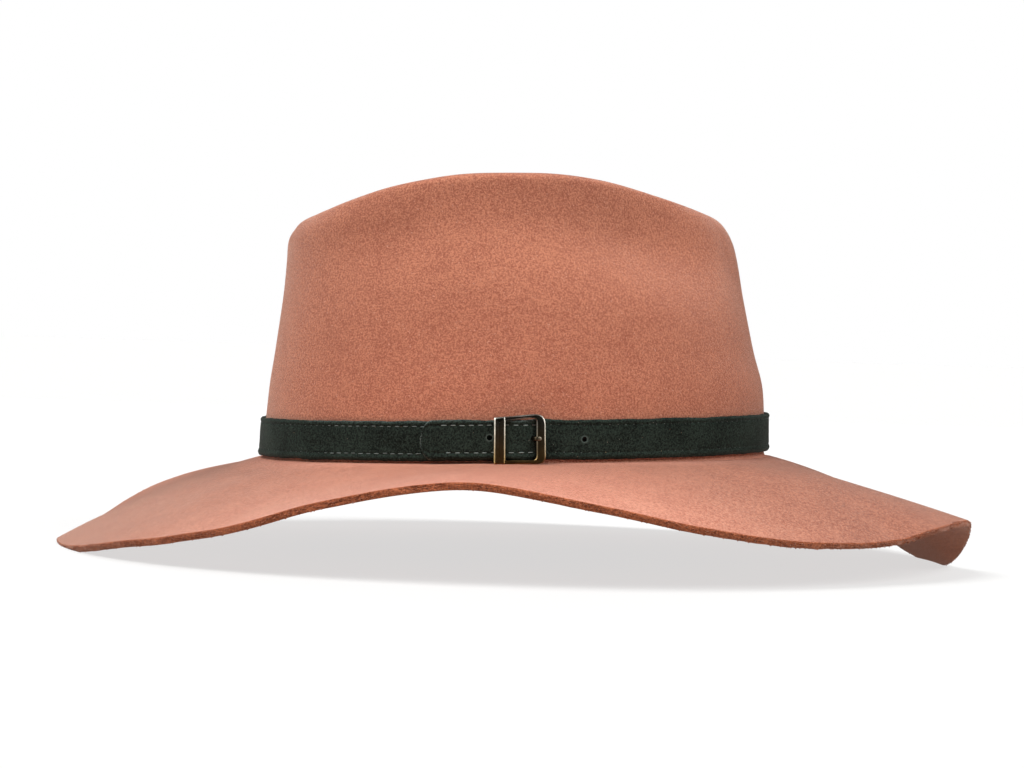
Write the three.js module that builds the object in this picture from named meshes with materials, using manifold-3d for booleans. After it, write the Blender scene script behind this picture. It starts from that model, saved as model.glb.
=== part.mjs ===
// Rancher hat of blocked wool felt with a narrow buckled suede belt.
// Millimetres. +X is the front of the hat, +Y its left, +Z up.
// The felt is drawn level first, with z = 0 where the crown meets the brim,
// and is then tipped until it stands on the dipped front and back of its brim.
// The origin ends up on the surface that it stands on, below the middle of the hat.
// A turn angle runs from 0 at the front over 90 at the left and 180 at the back.

import * as THREE from "three";
import { mergeVertices } from "three/addons/utils/BufferGeometryUtils.js";
import Module from "manifold-3d";

const wasm = await Module();
wasm.setup();

// Felt
const FELT_THICKNESS = 2.9;
const BRIM_WIDTH = 87;
const BREAK_RADIUS = 3;
const EDGE_STRIP = 1.4;

// How the hat stands
const REST_PITCH = 1.9;
const REST_ROLL = -0.2;
const FLATTENED_BY = 1.6;

// The brim falls from its break to its edge at a slope that changes evenly, in degrees.
const BRIM = [
  { turn: 0, slopeAtBreak: 16, slopeAtEdge: 47 },
  { turn: 9, slopeAtBreak: 9.5, slopeAtEdge: 50 },
  { turn: 20, slopeAtBreak: 8.5, slopeAtEdge: 40.5 },
  { turn: 33, slopeAtBreak: 8, slopeAtEdge: 37 },
  { turn: 50, slopeAtBreak: 5.5, slopeAtEdge: 32 },
  { turn: 75, slopeAtBreak: 2, slopeAtEdge: 21 },
  { turn: 105, slopeAtBreak: 1, slopeAtEdge: 4.5 },
  { turn: 135, slopeAtBreak: 5, slopeAtEdge: 11.5 },
  { turn: 160, slopeAtBreak: 12.5, slopeAtEdge: 28.5 },
  { turn: 180, slopeAtBreak: 17.5, slopeAtEdge: 26 },
  { turn: 195, slopeAtBreak: 18.5, slopeAtEdge: 24 },
  { turn: 210, slopeAtBreak: 16, slopeAtEdge: 19.5 },
  { turn: 225, slopeAtBreak: 10.5, slopeAtEdge: 16.5 },
  { turn: 240, slopeAtBreak: 5.5, slopeAtEdge: 5.5 },
  { turn: 255, slopeAtBreak: -0.5, slopeAtEdge: 2 },
  { turn: 270, slopeAtBreak: -2.5, slopeAtEdge: 14 },
  { turn: 285, slopeAtBreak: 0, slopeAtEdge: 25.5 },
  { turn: 300, slopeAtBreak: 4, slopeAtEdge: 30.5 },
  { turn: 315, slopeAtBreak: 2, slopeAtEdge: 35 },
  { turn: 327, slopeAtBreak: 7.5, slopeAtEdge: 23.5 },
  { turn: 338, slopeAtBreak: 14, slopeAtEdge: 18.5 },
  { turn: 350, slopeAtBreak: 14, slopeAtEdge: 44 },
];

// Level sections of the crown, from its foot over the ridge to the middle of the sunken top.
// z is the height and r the reach from the middle, each at the front, the sides and the back.
// narrow draws the sides in towards the front.
const CROWN = [
  { zFront: 5, zSide: 5, zBack: 5, rFront: 104.2, rSide: 87, rBack: 102.7, narrow: 0.03 },
  { zFront: 16, zSide: 16, zBack: 16, rFront: 104.3, rSide: 86.5, rBack: 101.8, narrow: 0.03 },
  { zFront: 30, zSide: 30, zBack: 30, rFront: 103.5, rSide: 85.5, rBack: 100.1, narrow: 0.03 },
  { zFront: 44, zSide: 44, zBack: 44, rFront: 99.8, rSide: 83.5, rBack: 97.9, narrow: 0.035 },
  { zFront: 64, zSide: 66, zBack: 64, rFront: 96, rSide: 80.5, rBack: 95, narrow: 0.05 },
  { zFront: 80, zSide: 87, zBack: 80, rFront: 93.5, rSide: 76.8, rBack: 93.4, narrow: 0.08 },
  { zFront: 89.5, zSide: 102, zBack: 88.9, rFront: 90.8, rSide: 74.6, rBack: 92.4, narrow: 0.12 },
  { zFront: 96.2, zSide: 108.5, zBack: 94.4, rFront: 86, rSide: 74.2, rBack: 89.1, narrow: 0.15 },
  { zFront: 94, zSide: 113.8, zBack: 97.5, rFront: 78.7, rSide: 68, rBack: 84.1, narrow: 0.18 },
  { zFront: 92.5, zSide: 106.5, zBack: 94.5, rFront: 70, rSide: 56, rBack: 76, narrow: 0.2 },
  { zFront: 90, zSide: 98, zBack: 88, rFront: 52, rSide: 40, rBack: 58, narrow: 0.2 },
  { zFront: 87, zSide: 88, zBack: 85, rFront: 28, rSide: 19, rBack: 32, narrow: 0.15 },
  { zFront: 86, zSide: 86, zBack: 86, rFront: 0, rSide: 0, rBack: 0, narrow: 0.1 },
];

// How quickly the height leaves that of the sides towards the front and the back.
const FRONT_BLEND = 2.1;
const BACK_BLEND = 2.8;

// A finger dent on each front side, in a shallow groove that runs all round below the ridge.
// The groove is highest at x, and falls from there towards the front and the back.
const DENT = { x: 45, length: 36, below: 19, above: 30, depth: 11 };
const GROOVE = { x: -25, z: 100, bend: 12, toFront: 0.2, toBack: 0.35, depth: 3.2 };

// Belt
const BELT_TURN = 264.3;
const STRAP_WIDTH = 14.2;
const STRAP_THICKNESS = 1.6;
const STRAP_LOW = 3.6;
const STRAP_CHAMFER = 0.35;
const STRAP_DROP_AT_BACK = 1.3;
const FREE_END_LIFT = 0.2;
const TIP_LENGTH = 4;
const FOLD_THICKNESS = 0.9;
const CLEARANCE = 0.3;
const WALL_GAP = 0.45;
const HOLE_DIAMETER = 2.1;
const HOLES = [-11.4, 24.8];
const PRONG_HOLE = { along: 4.85, length: 3.1, height: 2.4 };

// Buckle, drawn on the wall: along it from the buckle's middle, out from it, and up
const HINGE_RADIUS = 0.7;
const HINGE_OUT = WALL_GAP + FOLD_THICKNESS + CLEARANCE + HINGE_RADIUS;
const FRAME = {
  left: -9.9, right: 9.6, bottom: 1.5, topLeft: 19.4, topRight: 20.9,
  windowLeft: -5.2, windowRight: 6.2, rail: 1.5, corner: 3.3, innerCorner: 1.6,
  out: 5.3, thickness: 1.5, bevel: 0.35,
};
const PRONG = { width: 1.7, thickness: 0.9, up: 11.2, eye: 1, ring: 1.85 };

const TURNS = 72;
const radians = (degrees) => degrees * Math.PI / 180;
const mix = (a, b, k) => a + (b - a) * k;

// Smooth value between uneven rows that close on themselves after 360 degrees.
function aroundBrim(turn, column) {
  const rows = BRIM.length;
  const angle = ((turn % 360) + 360) % 360;
  let row = rows - 1;
  while (BRIM[row].turn > angle) row -= 1;
  const at = (i) => {
    const lap = Math.floor(i / rows);
    const entry = BRIM[i - lap * rows];
    return { turn: entry.turn + 360 * lap, value: entry[column] };
  };
  const [p0, p1, p2, p3] = [row - 1, row, row + 1, row + 2].map(at);
  const span = p2.turn - p1.turn;
  const slope1 = (p2.value - p0.value) / (p2.turn - p0.turn) * span;
  const slope2 = (p3.value - p1.value) / (p3.turn - p1.turn) * span;
  const k = (angle - p1.turn) / span;
  return (2 * k ** 3 - 3 * k ** 2 + 1) * p1.value + (k ** 3 - 2 * k ** 2 + k) * slope1
    + (3 * k ** 2 - 2 * k ** 3) * p2.value + (k ** 3 - k ** 2) * slope2;
}

// One section between two rows of the crown, with a smooth run through the rows beside them.
function crownSection(step) {
  const last = CROWN.length - 1;
  const row = Math.min(Math.floor(step), last - 1);
  const k = step - row;
  const section = {};
  for (const key of Object.keys(CROWN[0])) {
    const before = row > 0 ? CROWN[row - 1][key] : 2 * CROWN[0][key] - CROWN[1][key];
    const mirrored = key.startsWith("r") ? -1 : 1;
    const after = row + 2 <= last ? CROWN[row + 2][key] : mirrored * CROWN[last - 1][key];
    const [p1, p2] = [CROWN[row][key], CROWN[row + 1][key]];
    section[key] = 0.5 * (2 * p1 + (p2 - before) * k
      + (2 * before - 5 * p1 + 4 * p2 - after) * k ** 2
      + (3 * p1 - before - 3 * p2 + after) * k ** 3);
  }
  return section;
}

// Point of a section at a turn: an oval whose sides draw in towards the front.
function ovalPoint(section, turn) {
  const c = Math.cos(radians(turn));
  const s = Math.sin(radians(turn));
  const reach = c >= 0 ? section.rFront : section.rBack;
  const zEnd = c >= 0 ? section.zFront : section.zBack;
  const blend = Math.abs(c) ** (c >= 0 ? FRONT_BLEND : BACK_BLEND);
  return new THREE.Vector3(
    reach * c,
    section.rSide * s * (1 - section.narrow * c),
    mix(section.zSide, zEnd, blend),
  );
}

// Height of the groove's middle: two straight falls with a soft bend between them.
function grooveHeight(x) {
  const ahead = x - GROOVE.x;
  const lean = (GROOVE.toBack - GROOVE.toFront) / 2;
  const spread = (GROOVE.toBack + GROOVE.toFront) / 2;
  return GROOVE.z + lean * ahead - spread * (Math.hypot(ahead, GROOVE.bend) - GROOVE.bend);
}

function crownPoint(step, turn) {
  const point = ovalPoint(crownSection(step), turn);
  const up = point.z - grooveHeight(point.x);
  const across = Math.exp(-((up / (up < 0 ? DENT.below : DENT.above)) ** 2));
  const along = Math.exp(-(((point.x - DENT.x) / DENT.length) ** 2));
  const inward = (GROOVE.depth + DENT.depth * along) * across;
  const fade = Math.min(Math.abs(point.y) / 30, 1);
  point.y -= Math.sign(point.y) * inward * fade;
  return point;
}

// Level direction that points straight out of the crown's foot.
function outOfFoot(turn) {
  const ahead = crownPoint(0, turn + 0.5).sub(crownPoint(0, turn - 0.5));
  return new THREE.Vector3(ahead.y, -ahead.x, 0).normalize();
}

// The brim is an arc of one length everywhere, measured out from the foot.
function brimPoint(share, turn) {
  const start = radians(aroundBrim(turn, "slopeAtBreak"));
  const end = mix(start, radians(aroundBrim(turn, "slopeAtEdge")), share);
  const half = (end - start) / 2;
  const chord = share * BRIM_WIDTH * (Math.abs(half) > 1e-6 ? Math.sin(half) / half : 1);
  const out = BREAK_RADIUS + chord * Math.cos(start + half);
  const point = crownPoint(0, turn).addScaledVector(outOfFoot(turn), out);
  point.z = -chord * Math.sin(start + half);
  return point;
}

// Hollow quarter round between the wall's foot and the brim.
function breakPoint(angle, turn) {
  const out = BREAK_RADIUS * (1 - Math.cos(radians(angle)));
  const point = crownPoint(0, turn).addScaledVector(outOfFoot(turn), out);
  point.z = BREAK_RADIUS * (1 - Math.sin(radians(angle)));
  return point;
}

// Upper face of the felt, ring by ring from the brim's edge to the last ring of the top.
function feltRings() {
  const brimShares = [1, 1 - EDGE_STRIP / BRIM_WIDTH, 0.88, 0.75, 0.6, 0.45, 0.3, 0.17, 0.07, 0];
  const breakAngles = [50, 0];
  const crownSteps = [
    0, 1, 2, 3, 4, 5, 5.6, 6.2, 6.7, 7.1, 7.5, 7.9, 8.3, 8.7, 9.2, 9.8, 10.6, 11.4,
  ];
  const rings = [
    ...brimShares.map((share) => (turn) => brimPoint(share, turn)),
    ...breakAngles.map((angle) => (turn) => breakPoint(angle, turn)),
    ...crownSteps.map((step) => (turn) => crownPoint(step, turn)),
  ];
  const turns = Array.from({ length: TURNS }, (_, i) => i * 360 / TURNS);
  return rings.map((pointAt) => turns.map(pointAt));
}

// The same rings moved into the felt by its thickness, square to the face around each point.
function insideRings(rings, topPoint) {
  const ringAt = (row) => rings[row] ?? rings[0].map(() => topPoint);
  return rings.map((ring, row) => ring.map((point, i) => {
    const left = ring[(i + 1) % TURNS];
    const right = ring[(i + TURNS - 1) % TURNS];
    const normal = new THREE.Vector3();
    for (const next of [row - 1, row + 1]) {
      if (next < 0) continue;
      const other = ringAt(next)[i];
      for (const side of [left, right]) {
        const toOther = other.clone().sub(point);
        const toSide = side.clone().sub(point);
        const face = new THREE.Vector3().crossVectors(toSide, toOther).normalize();
        const turned = (next > row) === (side === left) ? 1 : -1;
        normal.addScaledVector(face, turned);
      }
    }
    return point.clone().addScaledVector(normal.normalize(), -FELT_THICKNESS);
  }));
}

// Closed mesh from rings of equal length, with a single point at each end or a closing face.
function meshFromRings(rings, firstPoint, lastPoint) {
  const count = rings[0].length;
  const points = [...rings.flat(), firstPoint, lastPoint];
  const first = rings.length * count;
  const faces = [];
  for (let row = 0; row + 1 < rings.length; row += 1) {
    for (let i = 0; i < count; i += 1) {
      const j = (i + 1) % count;
      const [a, b] = [row * count + i, row * count + j];
      const [c, d] = [a + count, b + count];
      faces.push(a, b, d, a, d, c);
    }
  }
  const end = (rings.length - 1) * count;
  for (let i = 0; i < count; i += 1) {
    const j = (i + 1) % count;
    faces.push(first, j, i);
    faces.push(first + 1, end + i, end + j);
  }
  const geometry = new THREE.BufferGeometry();
  const positions = points.flatMap((p) => [p.x, p.y, p.z]);
  geometry.setAttribute("position", new THREE.Float32BufferAttribute(positions, 3));
  geometry.setIndex(faces);
  return geometry;
}

// Crown and brim as one shell: out over the top, round the cut edge and back underneath.
function feltBody() {
  const outside = feltRings();
  const top = crownPoint(CROWN.length - 1, 0);
  const inside = insideRings(outside, top);
  const topInside = top.clone().setZ(top.z - FELT_THICKNESS);
  const rings = [...inside.reverse(), ...outside];
  return meshFromRings(rings, topInside, top);
}

// Tips the felt, sets it down and flattens the little of it that would sink in.
function settle(geometry) {
  const tip = new THREE.Matrix4().makeRotationFromEuler(
    new THREE.Euler(radians(REST_ROLL), radians(-REST_PITCH), 0),
  );
  geometry.applyMatrix4(tip);
  geometry.computeBoundingBox();
  const { min, max } = geometry.boundingBox;
  const shift = new THREE.Vector3(-(min.x + max.x) / 2, -(min.y + max.y) / 2, -min.z - FLATTENED_BY);
  geometry.translate(shift.x, shift.y, shift.z);
  const position = geometry.attributes.position;
  for (let i = 0; i < position.count; i += 1) {
    position.setZ(i, Math.max(position.getZ(i), 0));
  }
  return new THREE.Matrix4().makeTranslation(shift.x, shift.y, shift.z).multiply(tip);
}

// Distance along the foot of the crown, measured from the buckle towards the front.
const FOOT_STEPS = 1440;
const footLength = [0];
for (let i = 0; i < FOOT_STEPS; i += 1) {
  const a = crownPoint(0, BELT_TURN + i * 360 / FOOT_STEPS);
  const b = crownPoint(0, BELT_TURN + (i + 1) * 360 / FOOT_STEPS);
  footLength.push(footLength[i] + a.distanceTo(b));
}
const HEAD_ROUND = footLength[FOOT_STEPS];

function turnAt(along) {
  const laps = Math.floor(along / HEAD_ROUND);
  const rest = along - laps * HEAD_ROUND;
  let i = Math.min(Math.floor(rest / HEAD_ROUND * FOOT_STEPS), FOOT_STEPS - 1);
  while (footLength[i] > rest) i -= 1;
  while (footLength[i + 1] < rest) i += 1;
  const share = (rest - footLength[i]) / (footLength[i + 1] - footLength[i]);
  return BELT_TURN + (i + share) * 360 / FOOT_STEPS + 360 * laps;
}

// Bends a belt piece round the crown. Its x runs along the wall, its y into the hat, its z up.
function ontoWall(geometry) {
  const position = geometry.attributes.position;
  for (let i = 0; i < position.count; i += 1) {
    const turn = turnAt(position.getX(i));
    const foot = crownPoint(0, turn);
    const higher = crownPoint(1, turn);
    const up = position.getZ(i);
    const point = foot.clone().lerp(higher, (up - foot.z) / (higher.z - foot.z));
    point.addScaledVector(outOfFoot(turn), -position.getY(i));
    point.z = up - STRAP_DROP_AT_BACK * ((1 - Math.cos(radians(turn))) / 2) ** 2;
    position.setXYZ(i, point.x, point.y, point.z);
  }
  return geometry;
}

function solidOf(geometry) {
  const bare = geometry.clone();
  for (const name of Object.keys(bare.attributes)) {
    if (name !== "position") bare.deleteAttribute(name);
  }
  const merged = mergeVertices(bare, 1e-5);
  return new wasm.Manifold(new wasm.Mesh({
    numProp: 3,
    vertProperties: new Float32Array(merged.attributes.position.array),
    triVerts: new Uint32Array(merged.index.array),
  }));
}

function geometryOf(solid) {
  const mesh = solid.getMesh();
  const geometry = new THREE.BufferGeometry();
  geometry.setAttribute("position", new THREE.BufferAttribute(mesh.vertProperties, 3));
  geometry.setIndex(new THREE.BufferAttribute(mesh.triVerts, 1));
  return geometry;
}

// The strap's course seen from above: along the wall, out from it, and its thickness there.
// It starts as a thin flap that lies back on the strap and is folded round the hinge bar,
// goes once round towards the back, comes up from the front over the hinge bar, and ends
// in the free tip.
function strapCourse() {
  const bend = HINGE_RADIUS + CLEARANCE + FOLD_THICKNESS / 2;
  const resting = WALL_GAP + STRAP_THICKNESS / 2;
  const onTop = WALL_GAP + 1.5 * STRAP_THICKNESS + CLEARANCE;
  const fold = [
    { along: -4.4, out: 2.4, thick: FOLD_THICKNESS },
    { along: -3.4, out: 2.6, thick: FOLD_THICKNESS },
    { along: -2.2, out: 3, thick: FOLD_THICKNESS },
  ];
  for (let angle = 120; angle >= -90; angle -= 30) {
    fold.push({
      along: bend * Math.cos(radians(angle)),
      out: HINGE_OUT + bend * Math.sin(radians(angle)),
      thick: FOLD_THICKNESS,
    });
  }
  fold.push({ along: -3, out: HINGE_OUT - bend, thick: FOLD_THICKNESS });
  fold.push({ along: -7, out: resting, thick: STRAP_THICKNESS });
  const loop = [];
  const loopSteps = 58;
  for (let i = 0; i <= loopSteps; i += 1) {
    loop.push({ along: mix(-14, 24 - HEAD_ROUND, i / loopSteps), out: resting, thick: STRAP_THICKNESS });
  }
  const freeEnd = [
    { along: 18, out: resting + 0.1 }, { along: 14, out: 1.75 }, { along: 11, out: 2.6 },
    { along: 8, out: 3.45 }, { along: 5.5, out: 4.1 }, { along: 3.8, out: 4.65 },
    { along: 2, out: 5.25 }, { along: 0, out: 5.45 }, { along: -2, out: 5.25 },
    { along: -3.8, out: 4.65 }, { along: -5.5, out: 4.1 }, { along: -8, out: 3.6 },
    { along: -11, out: onTop + 0.1 }, { along: -14, out: onTop }, { along: -20, out: onTop },
    { along: -27, out: onTop }, { along: -34, out: onTop },
  ].map((stop) => ({ ...stop, thick: STRAP_THICKNESS, free: true }));
  const tip = [0.5, 0.75, 0.92, 1].map((share) => ({
    along: -34 - TIP_LENGTH * share,
    out: onTop,
    thick: STRAP_THICKNESS,
    free: true,
    tip: share,
  }));
  const offset = (stop) => ({ ...stop, along: stop.along - HEAD_ROUND });
  return [...fold, ...loop, ...freeEnd.map(offset), ...tip.map(offset)];
}

// Eight-cornered cross section at one stop of the course.
function strapRing(course, i) {
  const stop = course[i];
  const before = course[Math.max(i - 1, 0)];
  const after = course[Math.min(i + 1, course.length - 1)];
  const ahead = new THREE.Vector2(after.along - before.along, after.out - before.out).normalize();
  const lift = stop.free ? FREE_END_LIFT * Math.min(1, -(stop.along + HEAD_ROUND - 24) / 16) : 0;
  const roundOff = stop.tip ? Math.sqrt(1 - (0.8 * stop.tip) ** 2) : 1;
  const middle = STRAP_LOW + STRAP_WIDTH / 2 + lift;
  const half = STRAP_WIDTH / 2 * roundOff;
  const thick = stop.thick / 2;
  const chamfer = Math.min(STRAP_CHAMFER, thick * 0.6);
  const corners = [
    [-thick, chamfer - half], [-thick, half - chamfer], [chamfer - thick, half],
    [thick - chamfer, half], [thick, half - chamfer], [thick, chamfer - half],
    [thick - chamfer, -half], [chamfer - thick, -half],
  ];
  return corners.map(([side, up]) => new THREE.Vector3(
    stop.along - side * ahead.y,
    -(stop.out + side * ahead.x),
    middle + up,
  ));
}

function bandStrap() {
  const course = strapCourse();
  const rings = course.map((_, i) => strapRing(course, i));
  const middleOf = (ring) => ring
    .reduce((sum, p) => sum.add(p), new THREE.Vector3())
    .divideScalar(ring.length);
  const ribbon = meshFromRings(rings, middleOf(rings[0]), middleOf(rings.at(-1)));
  const punch = (along, length, height, out, reach, up) => {
    const pin = new THREE.CylinderGeometry(0.5, 0.5, reach, 16);
    pin.scale(length, 1, height);
    pin.translate(along, -out, up);
    return solidOf(ontoWall(pin));
  };
  const middle = STRAP_LOW + STRAP_WIDTH / 2 + FREE_END_LIFT;
  let strap = solidOf(ontoWall(ribbon));
  const onTop = WALL_GAP + 1.5 * STRAP_THICKNESS + CLEARANCE;
  strap = strap.subtract(punch(HOLES[0], HOLE_DIAMETER, HOLE_DIAMETER, onTop + 0.1, 1.9, middle));
  const resting = WALL_GAP + STRAP_THICKNESS / 2;
  strap = strap.subtract(punch(HOLES[1], HOLE_DIAMETER, HOLE_DIAMETER, resting, 3, middle));
  const { along, length, height } = PRONG_HOLE;
  strap = strap.subtract(punch(along, length, height, 4.3, 3, PRONG.up));
  // Slot in the fold, where the prong's eye sits on the hinge bar.
  const slot = new THREE.BoxGeometry(5, HINGE_OUT * 2, PRONG.width + 2.4 * CLEARANCE);
  slot.translate(0.1, -HINGE_OUT + 0.2, PRONG.up);
  strap = strap.subtract(solidOf(ontoWall(slot)));
  return geometryOf(strap);
}

// Frame with a broad square left bar and a right bar with round corners, cast with two
// lugs that reach in to the hidden hinge bar.
function buckleFrame() {
  const f = FRAME;
  const topAt = (along) => mix(f.topLeft, f.topRight, (along - f.left) / (f.right - f.left));
  const outline = new THREE.Shape();
  outline.moveTo(f.left, f.bottom);
  outline.lineTo(f.right - f.corner, f.bottom);
  outline.quadraticCurveTo(f.right, f.bottom, f.right, f.bottom + f.corner);
  outline.lineTo(f.right, f.topRight - f.corner);
  outline.quadraticCurveTo(f.right, f.topRight, f.right - f.corner, topAt(f.right - f.corner));
  outline.lineTo(f.left, f.topLeft);
  const bottom = f.bottom + f.rail;
  const top = (along) => topAt(along) - f.rail;
  const opening = new THREE.Path();
  opening.moveTo(f.windowLeft, bottom);
  opening.lineTo(f.windowLeft, top(f.windowLeft));
  opening.lineTo(f.windowRight - f.innerCorner, top(f.windowRight - f.innerCorner));
  opening.quadraticCurveTo(
    f.windowRight, top(f.windowRight), f.windowRight, top(f.windowRight) - f.innerCorner,
  );
  opening.lineTo(f.windowRight, bottom + f.innerCorner);
  opening.quadraticCurveTo(f.windowRight, bottom, f.windowRight - f.innerCorner, bottom);
  outline.holes.push(opening);
  const plate = new THREE.ExtrudeGeometry(outline, {
    depth: f.thickness - 2 * f.bevel,
    bevelSize: f.bevel,
    bevelThickness: f.bevel,
    bevelOffset: -f.bevel,
    bevelSegments: 1,
    curveSegments: 5,
  });
  plate.rotateX(Math.PI / 2);
  plate.translate(0, -(f.out + f.bevel), 0);
  let frame = solidOf(ontoWall(plate));
  const inner = HINGE_OUT - HINGE_RADIUS;
  const lugDepth = f.out + f.thickness / 2 - inner;
  for (const up of [f.bottom + f.rail / 2, topAt(0) - f.rail / 2]) {
    const lug = new THREE.BoxGeometry(2.2, lugDepth, f.rail - 0.2);
    lug.translate(0, -(inner + lugDepth / 2), up);
    frame = frame.add(solidOf(ontoWall(lug)));
  }
  const barLength = topAt(0) - f.bottom - f.rail;
  const bar = new THREE.CylinderGeometry(HINGE_RADIUS, HINGE_RADIUS, barLength, 12);
  bar.rotateX(Math.PI / 2);
  bar.translate(0, -HINGE_OUT, f.bottom + f.rail / 2 + barLength / 2);
  return geometryOf(frame.add(solidOf(ontoWall(bar))));
}

// Tongue: an eye round the hinge bar and an arm that rises through the strap onto the right bar.
function buckleProng() {
  const rest = FRAME.out + FRAME.thickness + CLEARANCE + PRONG.thickness / 2;
  const course = [
    [1.2, 3.1], [2.6, 2.75], [3.9, 2.85], [4.65, 4], [5, 5.3], [5.25, 6.7],
    [6.1, rest], [7.2, rest], [8.3, rest],
  ].map(([along, out]) => new THREE.Vector2(along, -out));
  const side = (direction) => course.map((point, i) => {
    const ahead = course[Math.min(i + 1, course.length - 1)]
      .clone()
      .sub(course[Math.max(i - 1, 0)])
      .normalize();
    const across = new THREE.Vector2(-ahead.y, ahead.x);
    return point.clone().addScaledVector(across, direction * PRONG.thickness / 2);
  });
  const arm = new THREE.Shape([...side(-1), ...side(1).reverse()]);
  const eye = new THREE.Shape();
  eye.absarc(0, -HINGE_OUT, PRONG.ring, 0, 2 * Math.PI);
  const hole = new THREE.Path();
  hole.absarc(0, -HINGE_OUT, PRONG.eye, 0, 2 * Math.PI);
  eye.holes.push(hole);
  const thicken = (shape) => {
    const solid = new THREE.ExtrudeGeometry(shape, {
      depth: PRONG.width, bevelEnabled: false, curveSegments: 8,
    });
    solid.translate(0, 0, PRONG.up - PRONG.width / 2);
    return solidOf(ontoWall(solid));
  };
  return geometryOf(thicken(arm).add(thicken(eye)));
}

const feltMaterial = new THREE.MeshStandardMaterial({ color: 0xba735b, roughness: 0.95, metalness: 0 });
const suedeMaterial = new THREE.MeshStandardMaterial({ color: 0x26302b, roughness: 0.9, metalness: 0 });
const brassMaterial = new THREE.MeshStandardMaterial({ color: 0x4a4238, roughness: 0.35, metalness: 1 });
const tongueMaterial = new THREE.MeshStandardMaterial({ color: 0x50483c, roughness: 0.4, metalness: 1 });

function named(name, geometry, material) {
  geometry.computeVertexNormals();
  const mesh = new THREE.Mesh(geometry, material);
  mesh.name = name;
  return mesh;
}

const felt = feltBody();
const resting = settle(felt);

const belt = new THREE.Group();
belt.applyMatrix4(resting);
belt.add(
  named("band_strap", bandStrap(), suedeMaterial),
  named("buckle_frame", buckleFrame(), brassMaterial),
  named("buckle_prong", buckleProng(), tongueMaterial),
);

const hat = new THREE.Group();
hat.name = "rancher_hat";
hat.add(named("felt_body", felt, feltMaterial), belt);

export default hat;
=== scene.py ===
# %% [markdown]
# # A rancher hat of blocked felt with a buckled suede belt
#
# The hat is one shell of wool felt, 2.9 mm thick, with a pinched crown and a wide wavy brim.
# A narrow suede belt round the foot of its crown closes with a small antiqued buckle. Four
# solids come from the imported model, and a finer piece takes the place of each. All sizes are
# millimetres in the frame of a level hat, and one last step tips the hat until it stands on its
# brim and turns the millimetres into metres.

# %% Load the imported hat
import math

import bpy
import numpy as np
from mathutils import Matrix


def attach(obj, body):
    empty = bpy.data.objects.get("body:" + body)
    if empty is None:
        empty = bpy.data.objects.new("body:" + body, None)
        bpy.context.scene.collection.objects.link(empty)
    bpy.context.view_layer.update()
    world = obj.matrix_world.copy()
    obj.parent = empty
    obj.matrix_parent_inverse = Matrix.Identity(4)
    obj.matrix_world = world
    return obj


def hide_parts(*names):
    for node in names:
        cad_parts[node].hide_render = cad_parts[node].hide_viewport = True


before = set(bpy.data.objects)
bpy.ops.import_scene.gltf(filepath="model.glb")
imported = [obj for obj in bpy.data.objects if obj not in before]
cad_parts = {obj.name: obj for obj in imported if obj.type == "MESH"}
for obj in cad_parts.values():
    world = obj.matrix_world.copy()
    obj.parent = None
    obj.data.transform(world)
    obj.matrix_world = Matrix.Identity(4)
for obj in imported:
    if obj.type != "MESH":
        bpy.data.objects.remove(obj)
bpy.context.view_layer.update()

print("solids:", sorted(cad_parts))

# %% [markdown]
# ## How the hat stands
#
# The brim dips at the front and the back, so a hat that is put down rests on those two places
# and leans back by about two degrees. One rotation and one shift do that for every piece.

# %% From the level frame to the floor
REST_PITCH = 1.9
REST_ROLL = -0.2
REST_SHIFT = np.array([1.6971, 0.0341, 39.3677])


def tipping(roll, pitch):
    """Rotation about the long-ways axis by the roll, times one about the side axis by the pitch."""
    cos, sin = math.cos, math.sin
    about_x = np.array([[1, 0, 0], [0, cos(roll), -sin(roll)], [0, sin(roll), cos(roll)]])
    about_y = np.array([[cos(pitch), 0, sin(pitch)], [0, 1, 0], [-sin(pitch), 0, cos(pitch)]])
    return about_x @ about_y


TIPPING = tipping(math.radians(REST_ROLL), math.radians(-REST_PITCH))


def stand(points):
    """Level millimetres to metres on the floor: turned, shifted, flat where it would sink in."""
    placed = points @ TIPPING.T + REST_SHIFT
    placed[..., 2] = np.maximum(placed[..., 2], 0)
    return placed / 1000


# %% [markdown]
# ## The camera
#
# The photograph looks at the hat's right side from about 1.2 m, a little above the brim and
# eight degrees towards the back. The camera is fixed to the level hat, so it is tipped
# along with it: the view is the photograph's, while the hat stands by itself.

# %% Camera at the photograph's angle
IMAGE_WIDTH = 1024
FOCAL_PIXELS = 2904
SENSOR = 36
CAMERA_TURN = math.radians(-8)
CAMERA_TILT = math.radians(1.1)
CAMERA_AWAY, CAMERA_BACK, CAMERA_UP = 1200, 0.4, 53

across = np.array([math.cos(CAMERA_TURN), math.sin(CAMERA_TURN), 0])
level_ahead = np.array([-math.sin(CAMERA_TURN), math.cos(CAMERA_TURN), 0])
ahead = level_ahead * math.cos(CAMERA_TILT) - np.array([0, 0, math.sin(CAMERA_TILT)])
upward = np.cross(across, ahead)
eye = np.array([0, 0, CAMERA_UP]) - CAMERA_AWAY * level_ahead - CAMERA_BACK * across


def put(name, data):
    """An object of a mesh, a camera or a lamp, linked to the scene."""
    made = bpy.data.objects.new(name, data)
    bpy.context.scene.collection.objects.link(made)
    return made


def aim(made, sideways, upwards, backwards, at=(0, 0, 0)):
    """Places a camera or a lamp by its three axes; it looks along the opposite of backwards."""
    made.matrix_world = Matrix(np.vstack([np.column_stack([sideways, upwards, backwards, at]),
                                          [0, 0, 0, 1]]))


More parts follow.
